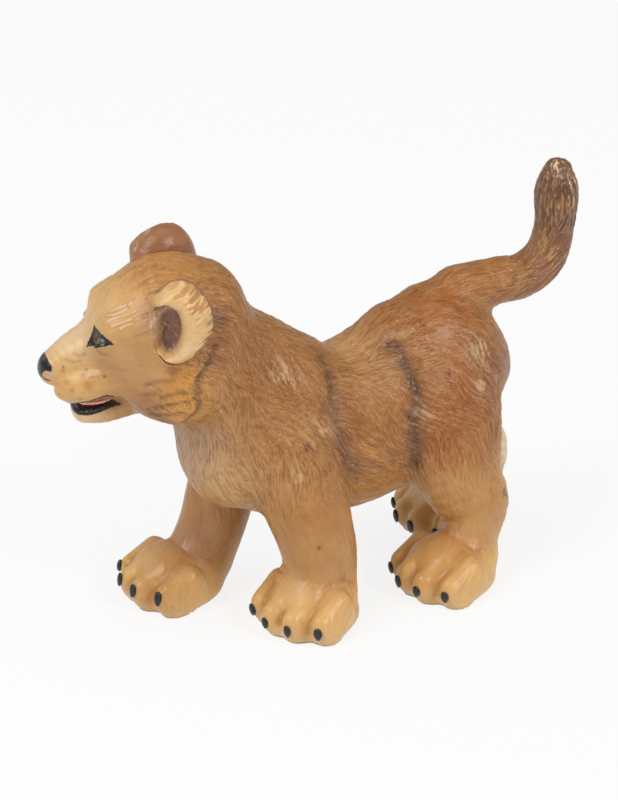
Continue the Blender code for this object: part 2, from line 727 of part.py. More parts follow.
def pegged(owner, other, place, along, radius, length):
    """A round peg on the owner that stands in a hole of the other piece."""
    along = np.asarray(along, float) / np.linalg.norm(along)
    root = place - along * length / 2
    boolean(owner, "UNION", rod(owner.name + "_peg", root, along, 1.5 * length, radius))
    hole = rod(owner.name + "_hole", root, along, 1.5 * length + PEG_CLEARANCE, radius + PEG_CLEARANCE)
    boolean(other, "DIFFERENCE", hole)


def main():
    for obj in list(bpy.data.objects):
        bpy.data.objects.remove(obj, do_unlink=True)
    tan, dark, cream = (0.42, 0.19, 0.07), (0.13, 0.06, 0.04), (0.78, 0.58, 0.33)
    colors = {
        "torso": tan,
        "head": tan,
        "left_ear": cream,
        "right_ear": cream,
        "tail": dark,
        "left_foreleg": tan,
        "right_foreleg": tan,
        "left_hind_leg": tan,
        "right_hind_leg": tan,
    }
    paints = {name: vinyl(name + "_paint", color, 0.42) for name, color in colors.items()}

    skin = helper(cast("skin", cub_forms()))
    floor = [(-OVERRUN, -OVERRUN), (OVERRUN, -OVERRUN), (OVERRUN, OVERRUN), (-OVERRUN, OVERRUN)]
    ground = prism("ground", [(x, y, -OVERRUN) for x, y in floor], [(x, y, 0.0) for x, y in floor])
    boolean(skin, "DIFFERENCE", ground)
    applied(skin)

    parts = {}
    torso = parts["torso"] = piece("torso", skin, paints["torso"])
    head = parts["head"] = piece("head", skin, paints["head"])
    tail = parts["tail"] = piece("tail", skin, paints["tail"])
    boolean(head, "INTERSECT", head_cutter("head_cutter"))
    boolean(tail, "INTERSECT", tail_cutter("tail_cutter"))
    head_room = head_cutter("head_room", SEAM_GAP)
    tail_room = tail_cutter("tail_room", SEAM_GAP)
    boolean(torso, "DIFFERENCE", head_room)
    boolean(torso, "DIFFERENCE", tail_room)
    for name in LEGS:
        leg = parts[name] = piece(name, skin, paints[name])
        boolean(leg, "INTERSECT", leg_cutter(name + "_cutter", name))
        boolean(leg, "DIFFERENCE", head_room)
        boolean(leg, "DIFFERENCE", tail_room)
        boolean(torso, "DIFFERENCE", leg_cutter(name + "_room", name, SEAM_GAP))
    for obj in parts.values():
        largest_body(applied(obj))

    # The slit of the mouth
    mouth = limb(head_rows(MOUTH_SHARES), head_axes()[1], 0.0)
    boolean(head, "DIFFERENCE", helper(facing_out(mesh_object("mouth", *swept_mesh(mouth)))))

    # Pegs at the seams
    ahead, _, above = head_axes()
    low, high = (np.array(HEAD_SEAM_SHARES[i]) * (HEAD_LENGTH, HEAD_HEIGHT) for i in (0, -1))
    f, u = low + NECK_PEG_SHARE * (high - low)
    rise, back = high[1] - low[1], low[0] - high[0]
    place = head_place(0.0, 0.0, 0.0) + f * ahead + u * above
    pegged(torso, head, place, rise * ahead + back * above, NECK_PEG_RADIUS, NECK_PEG_LENGTH)
    x, z = tail_seam()
    pegged(tail, torso, np.array([x, 0.0, z]), FORWARD, TAIL_PEG_RADIUS, TAIL_PEG_LENGTH)
    for name in LEGS:
        x, _, z, _, _ = leg_rows(name)[0]
        hand = LEGS[name][0]
        place = np.array([x, hand * seam_depth(z), z])
        pegged(parts[name], torso, place, -hand * RIGHT, LEG_PEG_RADIUS, LEG_PEG_LENGTH)
    for name, hand in (("left_ear", -1), ("right_ear", 1)):
        ear = parts[name] = ear_object(name, hand)
        ear.data.materials.append(paints[name])
        seat = ear_seat(name + "_seat", hand)
        boolean(head, "DIFFERENCE", seat)
        boolean(torso, "DIFFERENCE", seat)
        outward = ear_axes(hand)[2]
        place = ear_ring(hand, 0.0, 0.9 * EAR_THICKNESS)[0]
        pegged(ear, head, place, -outward, EAR_PEG_RADIUS, EAR_PEG_LENGTH)
    for obj in parts.values():
        applied(obj)

    # The origin goes to the middle of the figure's footprint, on the ground
    corners = np.array([v.co for obj in parts.values() for v in obj.data.vertices])
    middle = (corners.min(axis=0) + corners.max(axis=0)) / 2
    for obj in parts.values():
        obj.data.transform(Matrix.Translation((-middle[0], -middle[1], 0.0)))
        for face in obj.data.polygons:
            face.use_smooth = True
    for obj in [o for o in bpy.data.objects if o.hide_render]:
        bpy.data.objects.remove(obj, do_unlink=True)


main()
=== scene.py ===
# %% [markdown]
# # A toy lion cub in airbrushed vinyl
# The figure on the table is a small cub cast in soft vinyl. Its form is plain and rounded, and nearly all
# of its character sits in three thin layers: combed fur strokes engraved in the mould, warm paint
# sprayed over a cream casting, and a few small hand-painted marks for the eyes, nose, lips and claws.
# This lesson builds the three layers in that order on top of the construction model.

# %% Load the construction model
import math

import bmesh
import bpy
import numpy as np
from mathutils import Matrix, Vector


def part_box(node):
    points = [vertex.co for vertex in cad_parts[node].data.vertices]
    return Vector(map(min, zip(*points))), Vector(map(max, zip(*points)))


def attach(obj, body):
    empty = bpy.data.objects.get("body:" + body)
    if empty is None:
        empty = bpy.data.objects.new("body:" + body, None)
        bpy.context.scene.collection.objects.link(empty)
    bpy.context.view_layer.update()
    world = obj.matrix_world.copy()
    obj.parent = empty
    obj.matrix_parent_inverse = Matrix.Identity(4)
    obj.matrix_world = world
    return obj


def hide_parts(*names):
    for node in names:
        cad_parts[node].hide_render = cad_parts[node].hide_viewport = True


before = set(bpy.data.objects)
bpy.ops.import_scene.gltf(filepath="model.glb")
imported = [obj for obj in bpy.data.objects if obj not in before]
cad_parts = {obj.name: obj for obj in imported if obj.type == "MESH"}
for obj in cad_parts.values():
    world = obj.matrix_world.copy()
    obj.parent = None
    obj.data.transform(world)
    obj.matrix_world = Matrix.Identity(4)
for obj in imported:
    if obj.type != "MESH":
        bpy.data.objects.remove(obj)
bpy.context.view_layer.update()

MM = 0.001
print("mouldings:", ", ".join(sorted(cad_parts)))

# %% [markdown]
# ## The clay
# A sculptor would block the cub out in clay: a trunk, a neck, a skull, a muzzle and four legs, each a
# swept roll, blended with a thumb. The same thing works in numbers. Each roll has a distance, negative
# inside it, and the rolls are joined by a soft minimum. A mesh that is drawn onto the zero of that
# distance has no facets and no seams, and small changes to the rolls stay editable. Everything from here
# on is in millimetres, in the frame the clay was blocked out in.

# %% Directions and the body's sizes
FORWARD = np.array([-1.0, 0.0, 0.0])
RIGHT = np.array([0.0, 1.0, 0.0])
UP = np.array([0.0, 0.0, 1.0])

BACK_HEIGHT, BODY_LENGTH, BODY_WIDTH, BODY_DEPTH = 34.4, 34.5, 18.4, 23.2
NECK_REACH, NECK_RISE, NECK_WIDTH = 9.0, 8.5, 16.0
HEAD_LENGTH, HEAD_WIDTH, HEAD_HEIGHT = 26.0, 17.6, 21.6
HEAD_REACH, HEAD_SHIFT, HEAD_LEVEL = 21.0, 2.0, 40.0
HEAD_TURN, HEAD_TILT = math.radians(17.0), math.radians(5.0)
EAR_HEIGHT, EAR_WIDTH, EAR_THICKNESS, EAR_BOWL_DEPTH, EAR_RIM = 12.0, 8.9, 4.4, 2.4, 1.5
EAR_TURN = math.radians(15.0)
TAIL_REACH, TAIL_RISE, TAIL_THICKNESS = 15.9, 13.4, 6.2
SHOULDER_HEIGHT, HIP_HEIGHT, LEG_THICKNESS, HAUNCH_THICKNESS = 25.0, 27.0, 8.8, 9.6
TRACK, WHEELBASE = 17.0, 24.0
PAW_LENGTH, PAW_WIDTH, PAW_HEIGHT = 12.4, 12.4, 7.4

# %% Swept rolls of clay and their distance
TINY = 1e-9
FAR = 50.0


def spline(rows, steps=4):
    """Rows read from a smooth curve through the given rows: p1 + t(p2-p0)/2 + ..., the Catmull-Rom cubic."""
    rows = np.asarray(rows, float)
    ends = np.vstack([2 * rows[0] - rows[1], rows, 2 * rows[-1] - rows[-2]])
    t = np.linspace(0.0, 1.0, steps, endpoint=False)[:, None]
    spans = []
    for p0, p1, p2, p3 in zip(ends, ends[1:], ends[2:], ends[3:]):
        square = 0.5 * t**2 * (2 * p0 - 5 * p1 + 4 * p2 - p3)
        spans.append(p1 + 0.5 * t * (p2 - p0) + square + 0.5 * t**3 * (3 * p1 - p0 - 3 * p2 + p3))
    return np.vstack([*spans, rows[-1:]])


def limb(rows, side, blend, cap=1.0):
    """A roll along rows of centre, half width along side and half depth across it."""
    return {"rows": spline(rows), "side": np.asarray(side, float), "blend": blend, "cap": cap}


def swelling(centre, half, axes, blend):
    """An ellipsoid, as a very short roll along its first axis."""
    along, side, _ = axes
    length, width, depth = half
    step = along * length * 0.02
    rows = [[*(centre - step), width, depth], [*(centre + step), width, depth]]
    return limb(rows, side, blend, length / min(width, depth))


def distance(points, form):
    """About the distance to the roll: k0(k0-1)/k1, with k0 the length of the offset divided by the half
    sizes and k1 its length divided by their squares, least over the roll's spans."""
    nearest = np.full(len(points), np.inf)
    for a, b in zip(form["rows"], form["rows"][1:]):
        run = b[:3] - a[:3]
        length = np.linalg.norm(run)
        along = run / length
        t = np.clip((points - a[:3]) @ along / length, 0.0, 1.0)
        offset = points - a[:3] - t[:, None] * run
        side = form["side"] - (form["side"] @ along) * along
        side /= np.linalg.norm(side)
        width = a[3] + t * (b[3] - a[3])
        depth = a[4] + t * (b[4] - a[4])
        parts = (offset @ side, offset @ np.cross(along, side), offset @ along)
        halves = (width, depth, form["cap"] * np.minimum(width, depth))
        k0 = np.sqrt(sum((p / h) ** 2 for p, h in zip(parts, halves)))
        k1 = np.sqrt(sum((p / h**2) ** 2 for p, h in zip(parts, halves)))
        nearest = np.minimum(nearest, k0 * (k0 - 1.0) / (k1 + TINY))
    return nearest


def flesh(points, forms):
    """The soft minimum of the rolls: min(a, b) - h^3 blend/6, with h = max(blend - |a - b|, 0) / blend."""
    total = np.full(len(points), FAR)
    for form in forms:
        reach = form["rows"][:, 3:].max() * max(1.0, form["cap"]) + 2 * form["blend"]
        low = form["rows"][:, :3].min(axis=0) - reach
        high = form["rows"][:, :3].max(axis=0) + reach
        near = np.flatnonzero(((points > low) & (points < high)).all(axis=1))
        if not near.size:
            continue
        a, b = total[near], distance(points[near], form)
        h = np.maximum(form["blend"] - np.abs(a - b), 0.0) / form["blend"]
        total[near] = np.minimum(a, b) - h**3 * form["blend"] / 6
    return total


def slope(points, forms, gap, step=0.04):
    """The direction in which the distance grows, from one small step along each axis."""
    return np.stack([flesh(points + step * axis, forms) - gap for axis in np.eye(3)], axis=1) / step


print("one roll holds", len(spline(np.eye(5)[:, :5])), "stations")

# %% [markdown]
# ## Trunk, neck and tail
# The trunk is one long roll that sags at the back and rises to the rump. The neck leaves it forwards and
# to the right, because the head looks a little away. The numbers are shares of the body's sizes, so the
# cub keeps its build if a size changes.

# %% Trunk, neck and tail as rolls
TRUNK_SHARES = (
    (-0.465, 0.712, 0.400, 0.385),
    (-0.265, 0.708, 0.489, 0.475),
    (0.000, 0.651, 0.500, 0.486),
    (0.200, 0.676, 0.470, 0.505),
    (0.400, 0.752, 0.462, 0.532),
    (0.545, 0.872, 0.415, 0.440),
)
NECK_ROOT_SHARES = (-0.261, 0.0, 0.814)
NECK_SHARES = (
    (0.0, 0.0, 0.0, 0.525, 0.610),
    (0.61, 0.30, 0.53, 0.500, 0.585),
    (1.0, 0.70, 1.0, 0.475, 0.512),
)
TAIL_ROOT_SHARES = (0.580, 1.075)
TAIL_SHARES = (
    (0.000, 0.000, 0.560, 0.560),
    (0.403, 0.007, 0.484, 0.500),
    (0.648, -0.007, 0.468, 0.476),
    (0.881, 0.142, 0.452, 0.460),
    (0.972, 0.485, 0.427, 0.427),
    (0.980, 0.791, 0.468, 0.480),
    (0.985, 1.000, 0.315, 0.331),
)
BODY_BLEND = 0.18 * BODY_WIDTH


def trunk_forms():
    scale = np.array([BODY_LENGTH, BACK_HEIGHT, BODY_WIDTH, BODY_DEPTH])
    rows = [(x, 0.0, z, w, d) for x, z, w, d in np.array(TRUNK_SHARES) * scale]
    root = np.array(NECK_ROOT_SHARES) * (BODY_LENGTH, BODY_WIDTH, BACK_HEIGHT)
    neck = []
    for reach, shift, rise, width, depth in NECK_SHARES:
        centre = root + np.array([-reach * NECK_REACH, shift * HEAD_SHIFT, rise * NECK_RISE])
        neck.append([*centre, width * NECK_WIDTH, depth * NECK_WIDTH])
    return [limb(rows, RIGHT, BODY_BLEND, 0.8), limb(neck, RIGHT, BODY_BLEND, 0.6)]


def tail_rows():
    x0, z0 = TAIL_ROOT_SHARES[0] * BODY_LENGTH, TAIL_ROOT_SHARES[1] * BACK_HEIGHT
    scale = np.array([TAIL_REACH, TAIL_RISE, TAIL_THICKNESS, TAIL_THICKNESS])
    return [(x0 + x, 0.0, z0 + z, w, d) for x, z, w, d in np.array(TAIL_SHARES) * scale]


print("the tail rises to", round(tail_rows()[-1][2], 1), "mm")

# %% [markdown]
# ## Head
# The head has its own forward, sideways and up directions, turned and tilted a little. Skull, muzzle
# bridge and jaw are rolls; whisker pads, brows, cheeks, the ruff behind them, eyeballs and nose are small
# swellings. Keeping the face in the head's own directions lets left and right mirror each other.

# %% Head as rolls and swellings
SKULL_SHARES = (
    (-0.065, 0.0, 0.019, 0.472, 0.412),
    (0.085, 0.0, 0.042, 0.500, 0.435),
    (0.238, 0.0, -0.022, 0.409, 0.350),
)
BRIDGE_SHARES = (
    (0.270, 0.0, 0.009, 0.273, 0.181),
    (0.481, 0.0, -0.042, 0.182, 0.134),
    (0.623, 0.0, -0.125, 0.131, 0.093),
)
JAW_SHARES = (
    (0.212, 0.0, -0.315, 0.270, 0.130),
    (0.392, 0.0, -0.412, 0.210, 0.088),
    (0.490, 0.0, -0.435, 0.150, 0.069),
)
PAD_SHARES = (
    (0.300, 0.190, -0.150, 0.148, 0.111),
    (0.430, 0.150, -0.187, 0.148, 0.116),
    (0.540, 0.100, -0.222, 0.131, 0.108),
)
BROW_SHARES = ((0.325, 0.190, 0.180), (0.096, 0.136, 0.085))
CHEEK_SHARES = ((0.077, 0.295, -0.194), (0.246, 0.227, 0.231))
RUFF_SHARES = ((0.010, 0.310, -0.205), (0.155, 0.222, 0.218))
NOSE_SHARES = ((0.646, 0.0, -0.148), (0.058, 0.114, 0.079))
EYE_SHARES = ((0.405, 0.235, 0.080), (0.055, 0.070, 0.058))
EAR_PLACE_SHARES = (0.056, 0.495, 0.245)
MOUTH_SHARES = (
    (0.340, 0.0, -0.312, 0.285, 0.016),
    (0.450, 0.0, -0.330, 0.255, 0.024),
    (0.580, 0.0, -0.352, 0.170, 0.024),
)
HEAD_BLEND, FACE_BLEND = 0.15 * HEAD_WIDTH, 0.075 * HEAD_WIDTH


def head_axes():
    """The head's forward, right and up directions: forward turned by the head's turn, then tilted."""
    c, s = math.cos(HEAD_TURN), math.sin(HEAD_TURN)
    ahead, aside = c * FORWARD + s * RIGHT, c * RIGHT - s * FORWARD
    c, s = math.cos(HEAD_TILT), math.sin(HEAD_TILT)
    return ahead, c * aside + s * UP, c * UP - s * aside


AHEAD, ASIDE, ABOVE = head_axes()
HEAD_FRAME = np.stack([AHEAD, ASIDE, ABOVE])
HEAD_CENTRE = np.array([-HEAD_REACH, HEAD_SHIFT, HEAD_LEVEL])


def from_head(places):
    """Places given forward, right and up from the head's centre, in millimetres, taken to the figure."""
    return HEAD_CENTRE + np.asarray(places, float) @ HEAD_FRAME


def to_head(points):
    return (points - HEAD_CENTRE) @ HEAD_FRAME.T


def head_rows(shares):
    rows = np.array(shares) * (HEAD_LENGTH, HEAD_WIDTH, HEAD_HEIGHT, HEAD_WIDTH, HEAD_HEIGHT)
    return np.hstack([from_head(rows[:, :3]), rows[:, 3:]])


def head_swelling(shares, hand, blend):
    scale = np.array([HEAD_LENGTH, HEAD_WIDTH, HEAD_HEIGHT])
    place, half = (np.array(s) * scale for s in shares)
    return swelling(from_head(place * (1, hand, 1)), half, (AHEAD, ASIDE, ABOVE), blend)


def head_forms():
    forms = [
        limb(head_rows(SKULL_SHARES), ASIDE, HEAD_BLEND, 0.8),
        limb(head_rows(BRIDGE_SHARES), ASIDE, HEAD_BLEND),
        limb(head_rows(JAW_SHARES), ASIDE, FACE_BLEND),
    ]
    for hand in (-1, 1):
        forms += [
            limb(head_rows([(f, hand * s, *rest) for f, s, *rest in PAD_SHARES]), ASIDE, FACE_BLEND),
            head_swelling(BROW_SHARES, hand, HEAD_BLEND),
            head_swelling(CHEEK_SHARES, hand, HEAD_BLEND),
            head_swelling(RUFF_SHARES, hand, HEAD_BLEND),
            head_swelling(EYE_SHARES, hand, FACE_BLEND / 2),
        ]
    forms.append(head_swelling(NOSE_SHARES, 0, FACE_BLEND / 2))
    return forms


MOUTH = limb(head_rows(MOUTH_SHARES), ASIDE, 0.0)
print("head forms:", len(head_forms()))

# %% [markdown]
# ## Legs and paws
# Each leg is a roll from the shoulder or hip to the ankle, set in a stride. The paw is a flatter roll
# with four toes, each a short roll from knuckle to tip. The same function makes all four.

# %% Legs and paws as rolls
SHOULDER_PLACE = -0.275 * BODY_LENGTH
LEFT_FORELEG_SHARES = (
    (0.000, 0.341, 1.00, 0.432, 0.795),
    (0.040, 0.412, 0.68, 0.500, 0.648),
    (0.078, 0.465, 0.50, 0.500, 0.591),
    (0.108, 0.475, 0.336, 0.494, 0.557),
    (0.096, 0.485, 0.18, 0.483, 0.534),
)
RIGHT_FORELEG_SHARES = (
    (-0.013, 0.341, 1.00, 0.432, 0.795),
    (-0.042, 0.412, 0.72, 0.494, 0.630),
    (-0.104, 0.465, 0.528, 0.483, 0.545),
    (-0.170, 0.455, 0.36, 0.477, 0.511),
    (-0.255, 0.435, 0.20, 0.466, 0.511),
)
LEFT_HIND_LEG_SHARES = (
    (-0.035, 0.329, 1.00, 0.438, 0.865),
    (-0.015, 0.400, 0.760, 0.500, 0.790),
    (0.035, 0.465, 0.519, 0.448, 0.590),
    (0.110, 0.518, 0.385, 0.385, 0.479),
    (0.055, 0.547, 0.237, 0.375, 0.410),
    (0.030, 0.571, 0.156, 0.396, 0.427),
)
RIGHT_HIND_LEG_SHARES = (
    (0.020, 0.329, 1.00, 0.438, 0.938),
    (0.200, 0.400, 0.760, 0.479, 0.833),
    (0.400, 0.415, 0.519, 0.417, 0.542),
    (0.575, 0.360, 0.370, 0.354, 0.417),
    (0.520, 0.310, 0.241, 0.344, 0.375),
    (0.430, 0.285, 0.156, 0.365, 0.396),
)
PAW_SHARES = (
    (-0.220, 0.0, 0.405, 0.355, 0.460),
    (0.060, 0.0, 0.470, 0.430, 0.540),
    (0.190, 0.0, 0.390, 0.430, 0.440),
)
TOE_SPREAD_SHARES = (-0.385, -0.130, 0.130, 0.385)
TOE_REACH_SHARES = (0.260, 0.395, 0.395, 0.260)
TOE_ROOT_SHARE, TOE_WIDTH_SHARE = 0.270, 0.150
TOE_HEIGHT_SHARES, TOE_DEPTH_SHARE = (0.540, 0.300), 0.350
PAW_BLEND, TOE_BLEND = 0.20 * PAW_HEIGHT, 0.075 * PAW_WIDTH
CUSHION_SHARES, CUSHION_HEIGHT_SHARE = (0.500, 0.500, 0.33), 0.22
# Side, stations, whether it is a hind leg, the paw's outward turn and its centre ahead of the ankle
LEGS = {
    "left_foreleg": (-1, LEFT_FORELEG_SHARES, False, 18.0, 0.145),
    "right_foreleg": (1, RIGHT_FORELEG_SHARES, False, 3.0, 0.33),
    "left_hind_leg": (-1, LEFT_HIND_LEG_SHARES, True, 6.0, 0.28),
    "right_hind_leg": (1, RIGHT_HIND_LEG_SHARES, True, 3.0, 0.22),
}


def leg_rows(name):
    hand, shares, hind, _, _ = LEGS[name]
    height = HIP_HEIGHT if hind else SHOULDER_HEIGHT
    thick = HAUNCH_THICKNESS if hind else LEG_THICKNESS
    start = SHOULDER_PLACE + (WHEELBASE if hind else 0.0)
    rows = np.array(shares) * (WHEELBASE, hand * TRACK, height, thick, thick)
    return rows + (start, 0.0, 0.0, 0.0, 0.0)


def paw_axes(name):
    """The paw's forward and right directions, turned outwards on its own side."""
    angle = LEGS[name][0] * math.radians(LEGS[name][3])
    c, s = math.cos(angle), math.sin(angle)
    return c * FORWARD + s * RIGHT, c * RIGHT - s * FORWARD


def paw_place(name, forward, sideways, height):
    ahead, aside = paw_axes(name)
    centre = np.array([*leg_rows(name)[-1][:2], 0.0]) + ahead * LEGS[name][4] * PAW_LENGTH
    return centre + forward * PAW_LENGTH * ahead + sideways * PAW_WIDTH * aside + height * PAW_HEIGHT * UP


def leg_forms(name):
    aside = paw_axes(name)[1]
    rows = [[*paw_place(name, f, s, u), w * PAW_WIDTH, d * PAW_HEIGHT] for f, s, u, w, d in PAW_SHARES]
    forms = [limb(leg_rows(name), RIGHT, BODY_BLEND), limb(rows, aside, 2 * PAW_BLEND)]
    half = [TOE_WIDTH_SHARE * PAW_WIDTH, TOE_DEPTH_SHARE * PAW_HEIGHT]
    for spread, reach in zip(TOE_SPREAD_SHARES, TOE_REACH_SHARES):
        knuckle = paw_place(name, reach - TOE_ROOT_SHARE, spread, TOE_HEIGHT_SHARES[0])
        tip = paw_place(name, reach, spread, TOE_HEIGHT_SHARES[1])
        forms.append(limb([[*knuckle, *half], [*tip, *half]], aside, TOE_BLEND))
    # A cushion low down fills the clefts between the toes towards the sole
    axes = (*paw_axes(name), UP)
    half = np.array(CUSHION_SHARES) * (PAW_LENGTH, PAW_WIDTH, PAW_HEIGHT)
    forms.append(swelling(paw_place(name, 0.0, 0.0, CUSHION_HEIGHT_SHARE), half, axes, PAW_BLEND))
    return forms


CUB = trunk_forms() + head_forms()
for leg in LEGS:
    CUB += leg_forms(leg)
CUB.append(limb(tail_rows(), RIGHT, BODY_BLEND))
print("rolls and swellings in the whole cub:", len(CUB))

# %% [markdown]
# ## Where the clay stands in the frame
# The construction model was moved so that its origin is the middle of its footprint. The left ear tells
# how far: its lowest corner is worked out from the clay and compared with the frame's.

# %% Ear rings, and the step from clay to frame
EAR_BACK_SHARES = ((0.42, 0.94), (0.76, 0.66), (0.96, 0.26), (1.0, 0.04))
EAR_BULGE = 0.12 * EAR_THICKNESS
HOLLOW_PLACE, HOLLOW_HALF, HOLLOW_DEPTH = (2.6, -0.6), (1.95, 3.45), 1.9


def ear_axes(hand):
    """The ear's forward, up and outward directions. Its bowl looks outward and a little forwards."""
    c, s = math.cos(EAR_TURN), math.sin(EAR_TURN)
    return c * AHEAD - s * hand * ASIDE, ABOVE, s * AHEAD + c * hand * ASIDE


def ear_place(hand, forward, up, outward):
    """Points of an ear from arrays of millimetres forward, up and outward of its middle."""
    ahead, above, out = ear_axes(hand)
    f, s, u = np.array(EAR_PLACE_SHARES) * (HEAD_LENGTH, HEAD_WIDTH, HEAD_HEIGHT)
    centre = from_head((f, hand * s, u))
    return centre + np.stack([forward, up, outward], axis=-1) @ np.stack([ahead, above, out])


angle = np.linspace(0.0, 2 * math.pi, 28, endpoint=False)
rings = [(share, -depth * EAR_THICKNESS) for share, depth in EAR_BACK_SHARES]
rings += [(1.0 - 0.5 * EAR_RIM / EAR_WIDTH, 0.7 * EAR_BULGE), (1.0 - 1.1 * EAR_RIM / EAR_WIDTH, EAR_BULGE)]
clay_ear = np.vstack([
    ear_place(-1, r * EAR_WIDTH / 2 * np.cos(angle), r * EAR_HEIGHT / 2 * np.sin(angle), np.full(28, d))
    for r, d in rings
])
CLAY_TO_FRAME = np.array(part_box("left_ear")[0]) / MM - clay_ear.min(axis=0)
CLAY_TO_FRAME[2] = 0.0
print("clay to frame in mm:", np.round(CLAY_TO_FRAME, 3))

# %% [markdown]
# ## Skins
# Each moulding keeps its construction solid's outline, seams and pegs, but its skin needs hundreds of
# times the detail. A voxel remesh of the solid gives an even net of small squares, and drawing that net
# onto the clay's zero removes every facet. The net is first swollen by half the seam gap, because the real
# mouldings are bonded and show no slit.

# %% Fine, even nets on the solids
SEAM_SWELL = 0.34
MERGE_METRES = 1e-7


def placed(name, data):
    """An object in the scene that holds the data."""
    obj = bpy.data.objects.new(name, data)
    bpy.context.scene.collection.objects.link(obj)
    return obj


def mesh_arrays(mesh):
    """The points of a mesh of squares and the four corners of each square."""
    co = np.empty(len(mesh.vertices) * 3)
    mesh.vertices.foreach_get("co", co)
    corners = np.empty(len(mesh.loops), np.int32)
    mesh.loops.foreach_get("vertex_index", corners)
    return co.reshape(-1, 3), corners.reshape(-1, 4)


def merged_copy(node, name):
    """A copy of a construction solid with its loose triangles merged into one skin."""
    form = bmesh.new()
    form.from_mesh(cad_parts[node].data)
    bmesh.ops.remove_doubles(form, verts=form.verts, dist=MERGE_METRES)
    mesh = bpy.data.meshes.new(name)
    form.to_mesh(mesh)
    form.free()
    return placed(name, mesh)


def net(node, name, voxel):
    """An even net of squares over a solid, with its points in clay millimetres."""
    obj = merged_copy(node, name)
    remesh = obj.modifiers.new("net", "REMESH")
    remesh.mode = "VOXEL"
    remesh.voxel_size = voxel * MM
    graph = bpy.context.evaluated_depsgraph_get()
    mesh = bpy.data.meshes.new_from_object(obj.evaluated_get(graph))
    obj.modifiers.clear()
    obj.data = mesh
    points, quads = mesh_arrays(mesh)
    return obj, points / MM - CLAY_TO_FRAME, quads


def net_normals(points, quads):
    """Each point's outward direction: the sum of its squares' diagonal cross products, made unit length."""
    a, b, c, d = (points[quads[:, k]] for k in range(4))
    face = np.cross(c - a, d - b)
    total = np.stack([
        sum(np.bincount(quads[:, k], face[:, axis], len(points)) for k in range(4)) for axis in range(3)
    ], axis=1)
    return total / (np.linalg.norm(total, axis=1, keepdims=True) + TINY)


print("seams are closed by", SEAM_SWELL, "mm on each side")

# %% [markdown]
# ## Drawing a net onto the clay
# Each point of the net moves along the clay's own slope until its distance is zero. Only points near the
# clay may move, so pegs and sockets inside a moulding stay where they are. Paws may move further, and so may
# the seat that the solid head has under the edge of each ear, because the real head has no such step.

# %% Points drawn onto the clay
NEAR, FADE, PAW_NEAR, PAW_TOP, PAW_FADE = 0.34, 0.22, 0.90, 8.0, 2.5
SEAT_NEAR, SEAT_REACH, SEAT_LEVEL, SEAT_RING, SEAT_FADE = 3.0, 6.5, -1.5, 1.15, 0.3
LEAST_SLOPE = 0.1


def smooth_step(x):
    """3x^2 - 2x^3, with x kept from 0 to 1."""
    x = np.clip(x, 0.0, 1.0)
    return x * x * (3.0 - 2.0 * x)


def ear_seat(points):
    """1 in the head's seat under the edge of each ear, and 0 elsewhere and under the ear's hollow."""
    share = np.zeros(len(points))
    for hand in (-1, 1):
        away = points - ear_place(hand, 0.0, 0.0, SEAT_LEVEL)
        ahead, above, _ = ear_axes(hand)
        flat = np.stack([away @ ahead, away @ above], axis=1)
        ring = np.linalg.norm((flat - HOLLOW_PLACE) / HOLLOW_HALF, axis=1)
        close = smooth_step(SEAT_REACH - np.linalg.norm(away, axis=1))
        share = np.maximum(share, close * smooth_step((ring - SEAT_RING) / SEAT_FADE))
    return share


def drawn_on(points, forms):
    """Points near the clay moved onto it, twice by p - w d g / |g|^2, where d is the distance, g its slope
    and the weight w fades out for points deep inside. Gives points, directions and weights."""
    gap = flesh(points, forms)
    steep = slope(points, forms, gap)
    size = np.maximum((steep**2).sum(axis=1), LEAST_SLOPE)
    near = NEAR + PAW_NEAR * smooth_step((PAW_TOP - points[:, 2]) / PAW_FADE) + SEAT_NEAR * ear_seat(points)
    weight = 1.0 - smooth_step((np.abs(gap) - near) / FADE)
    points = points - steep * (weight * gap / size)[:, None]
    points = points - steep * (weight * flesh(points, forms) / size)[:, None]
    return points, steep / np.sqrt(size)[:, None], weight


print("the head's seat reaches", SEAT_REACH, "mm from the middle of each ear")

# %% [markdown]
# ## Combing
# The mould was engraved with a comb: short strokes that follow the lie of the fur. A groomer would note
# the direction at a few places and let the rest follow, and so does this step. Each row is a place and a
# direction. The direction anywhere is the mean of all rows weighted by nearness, laid flat on the skin.

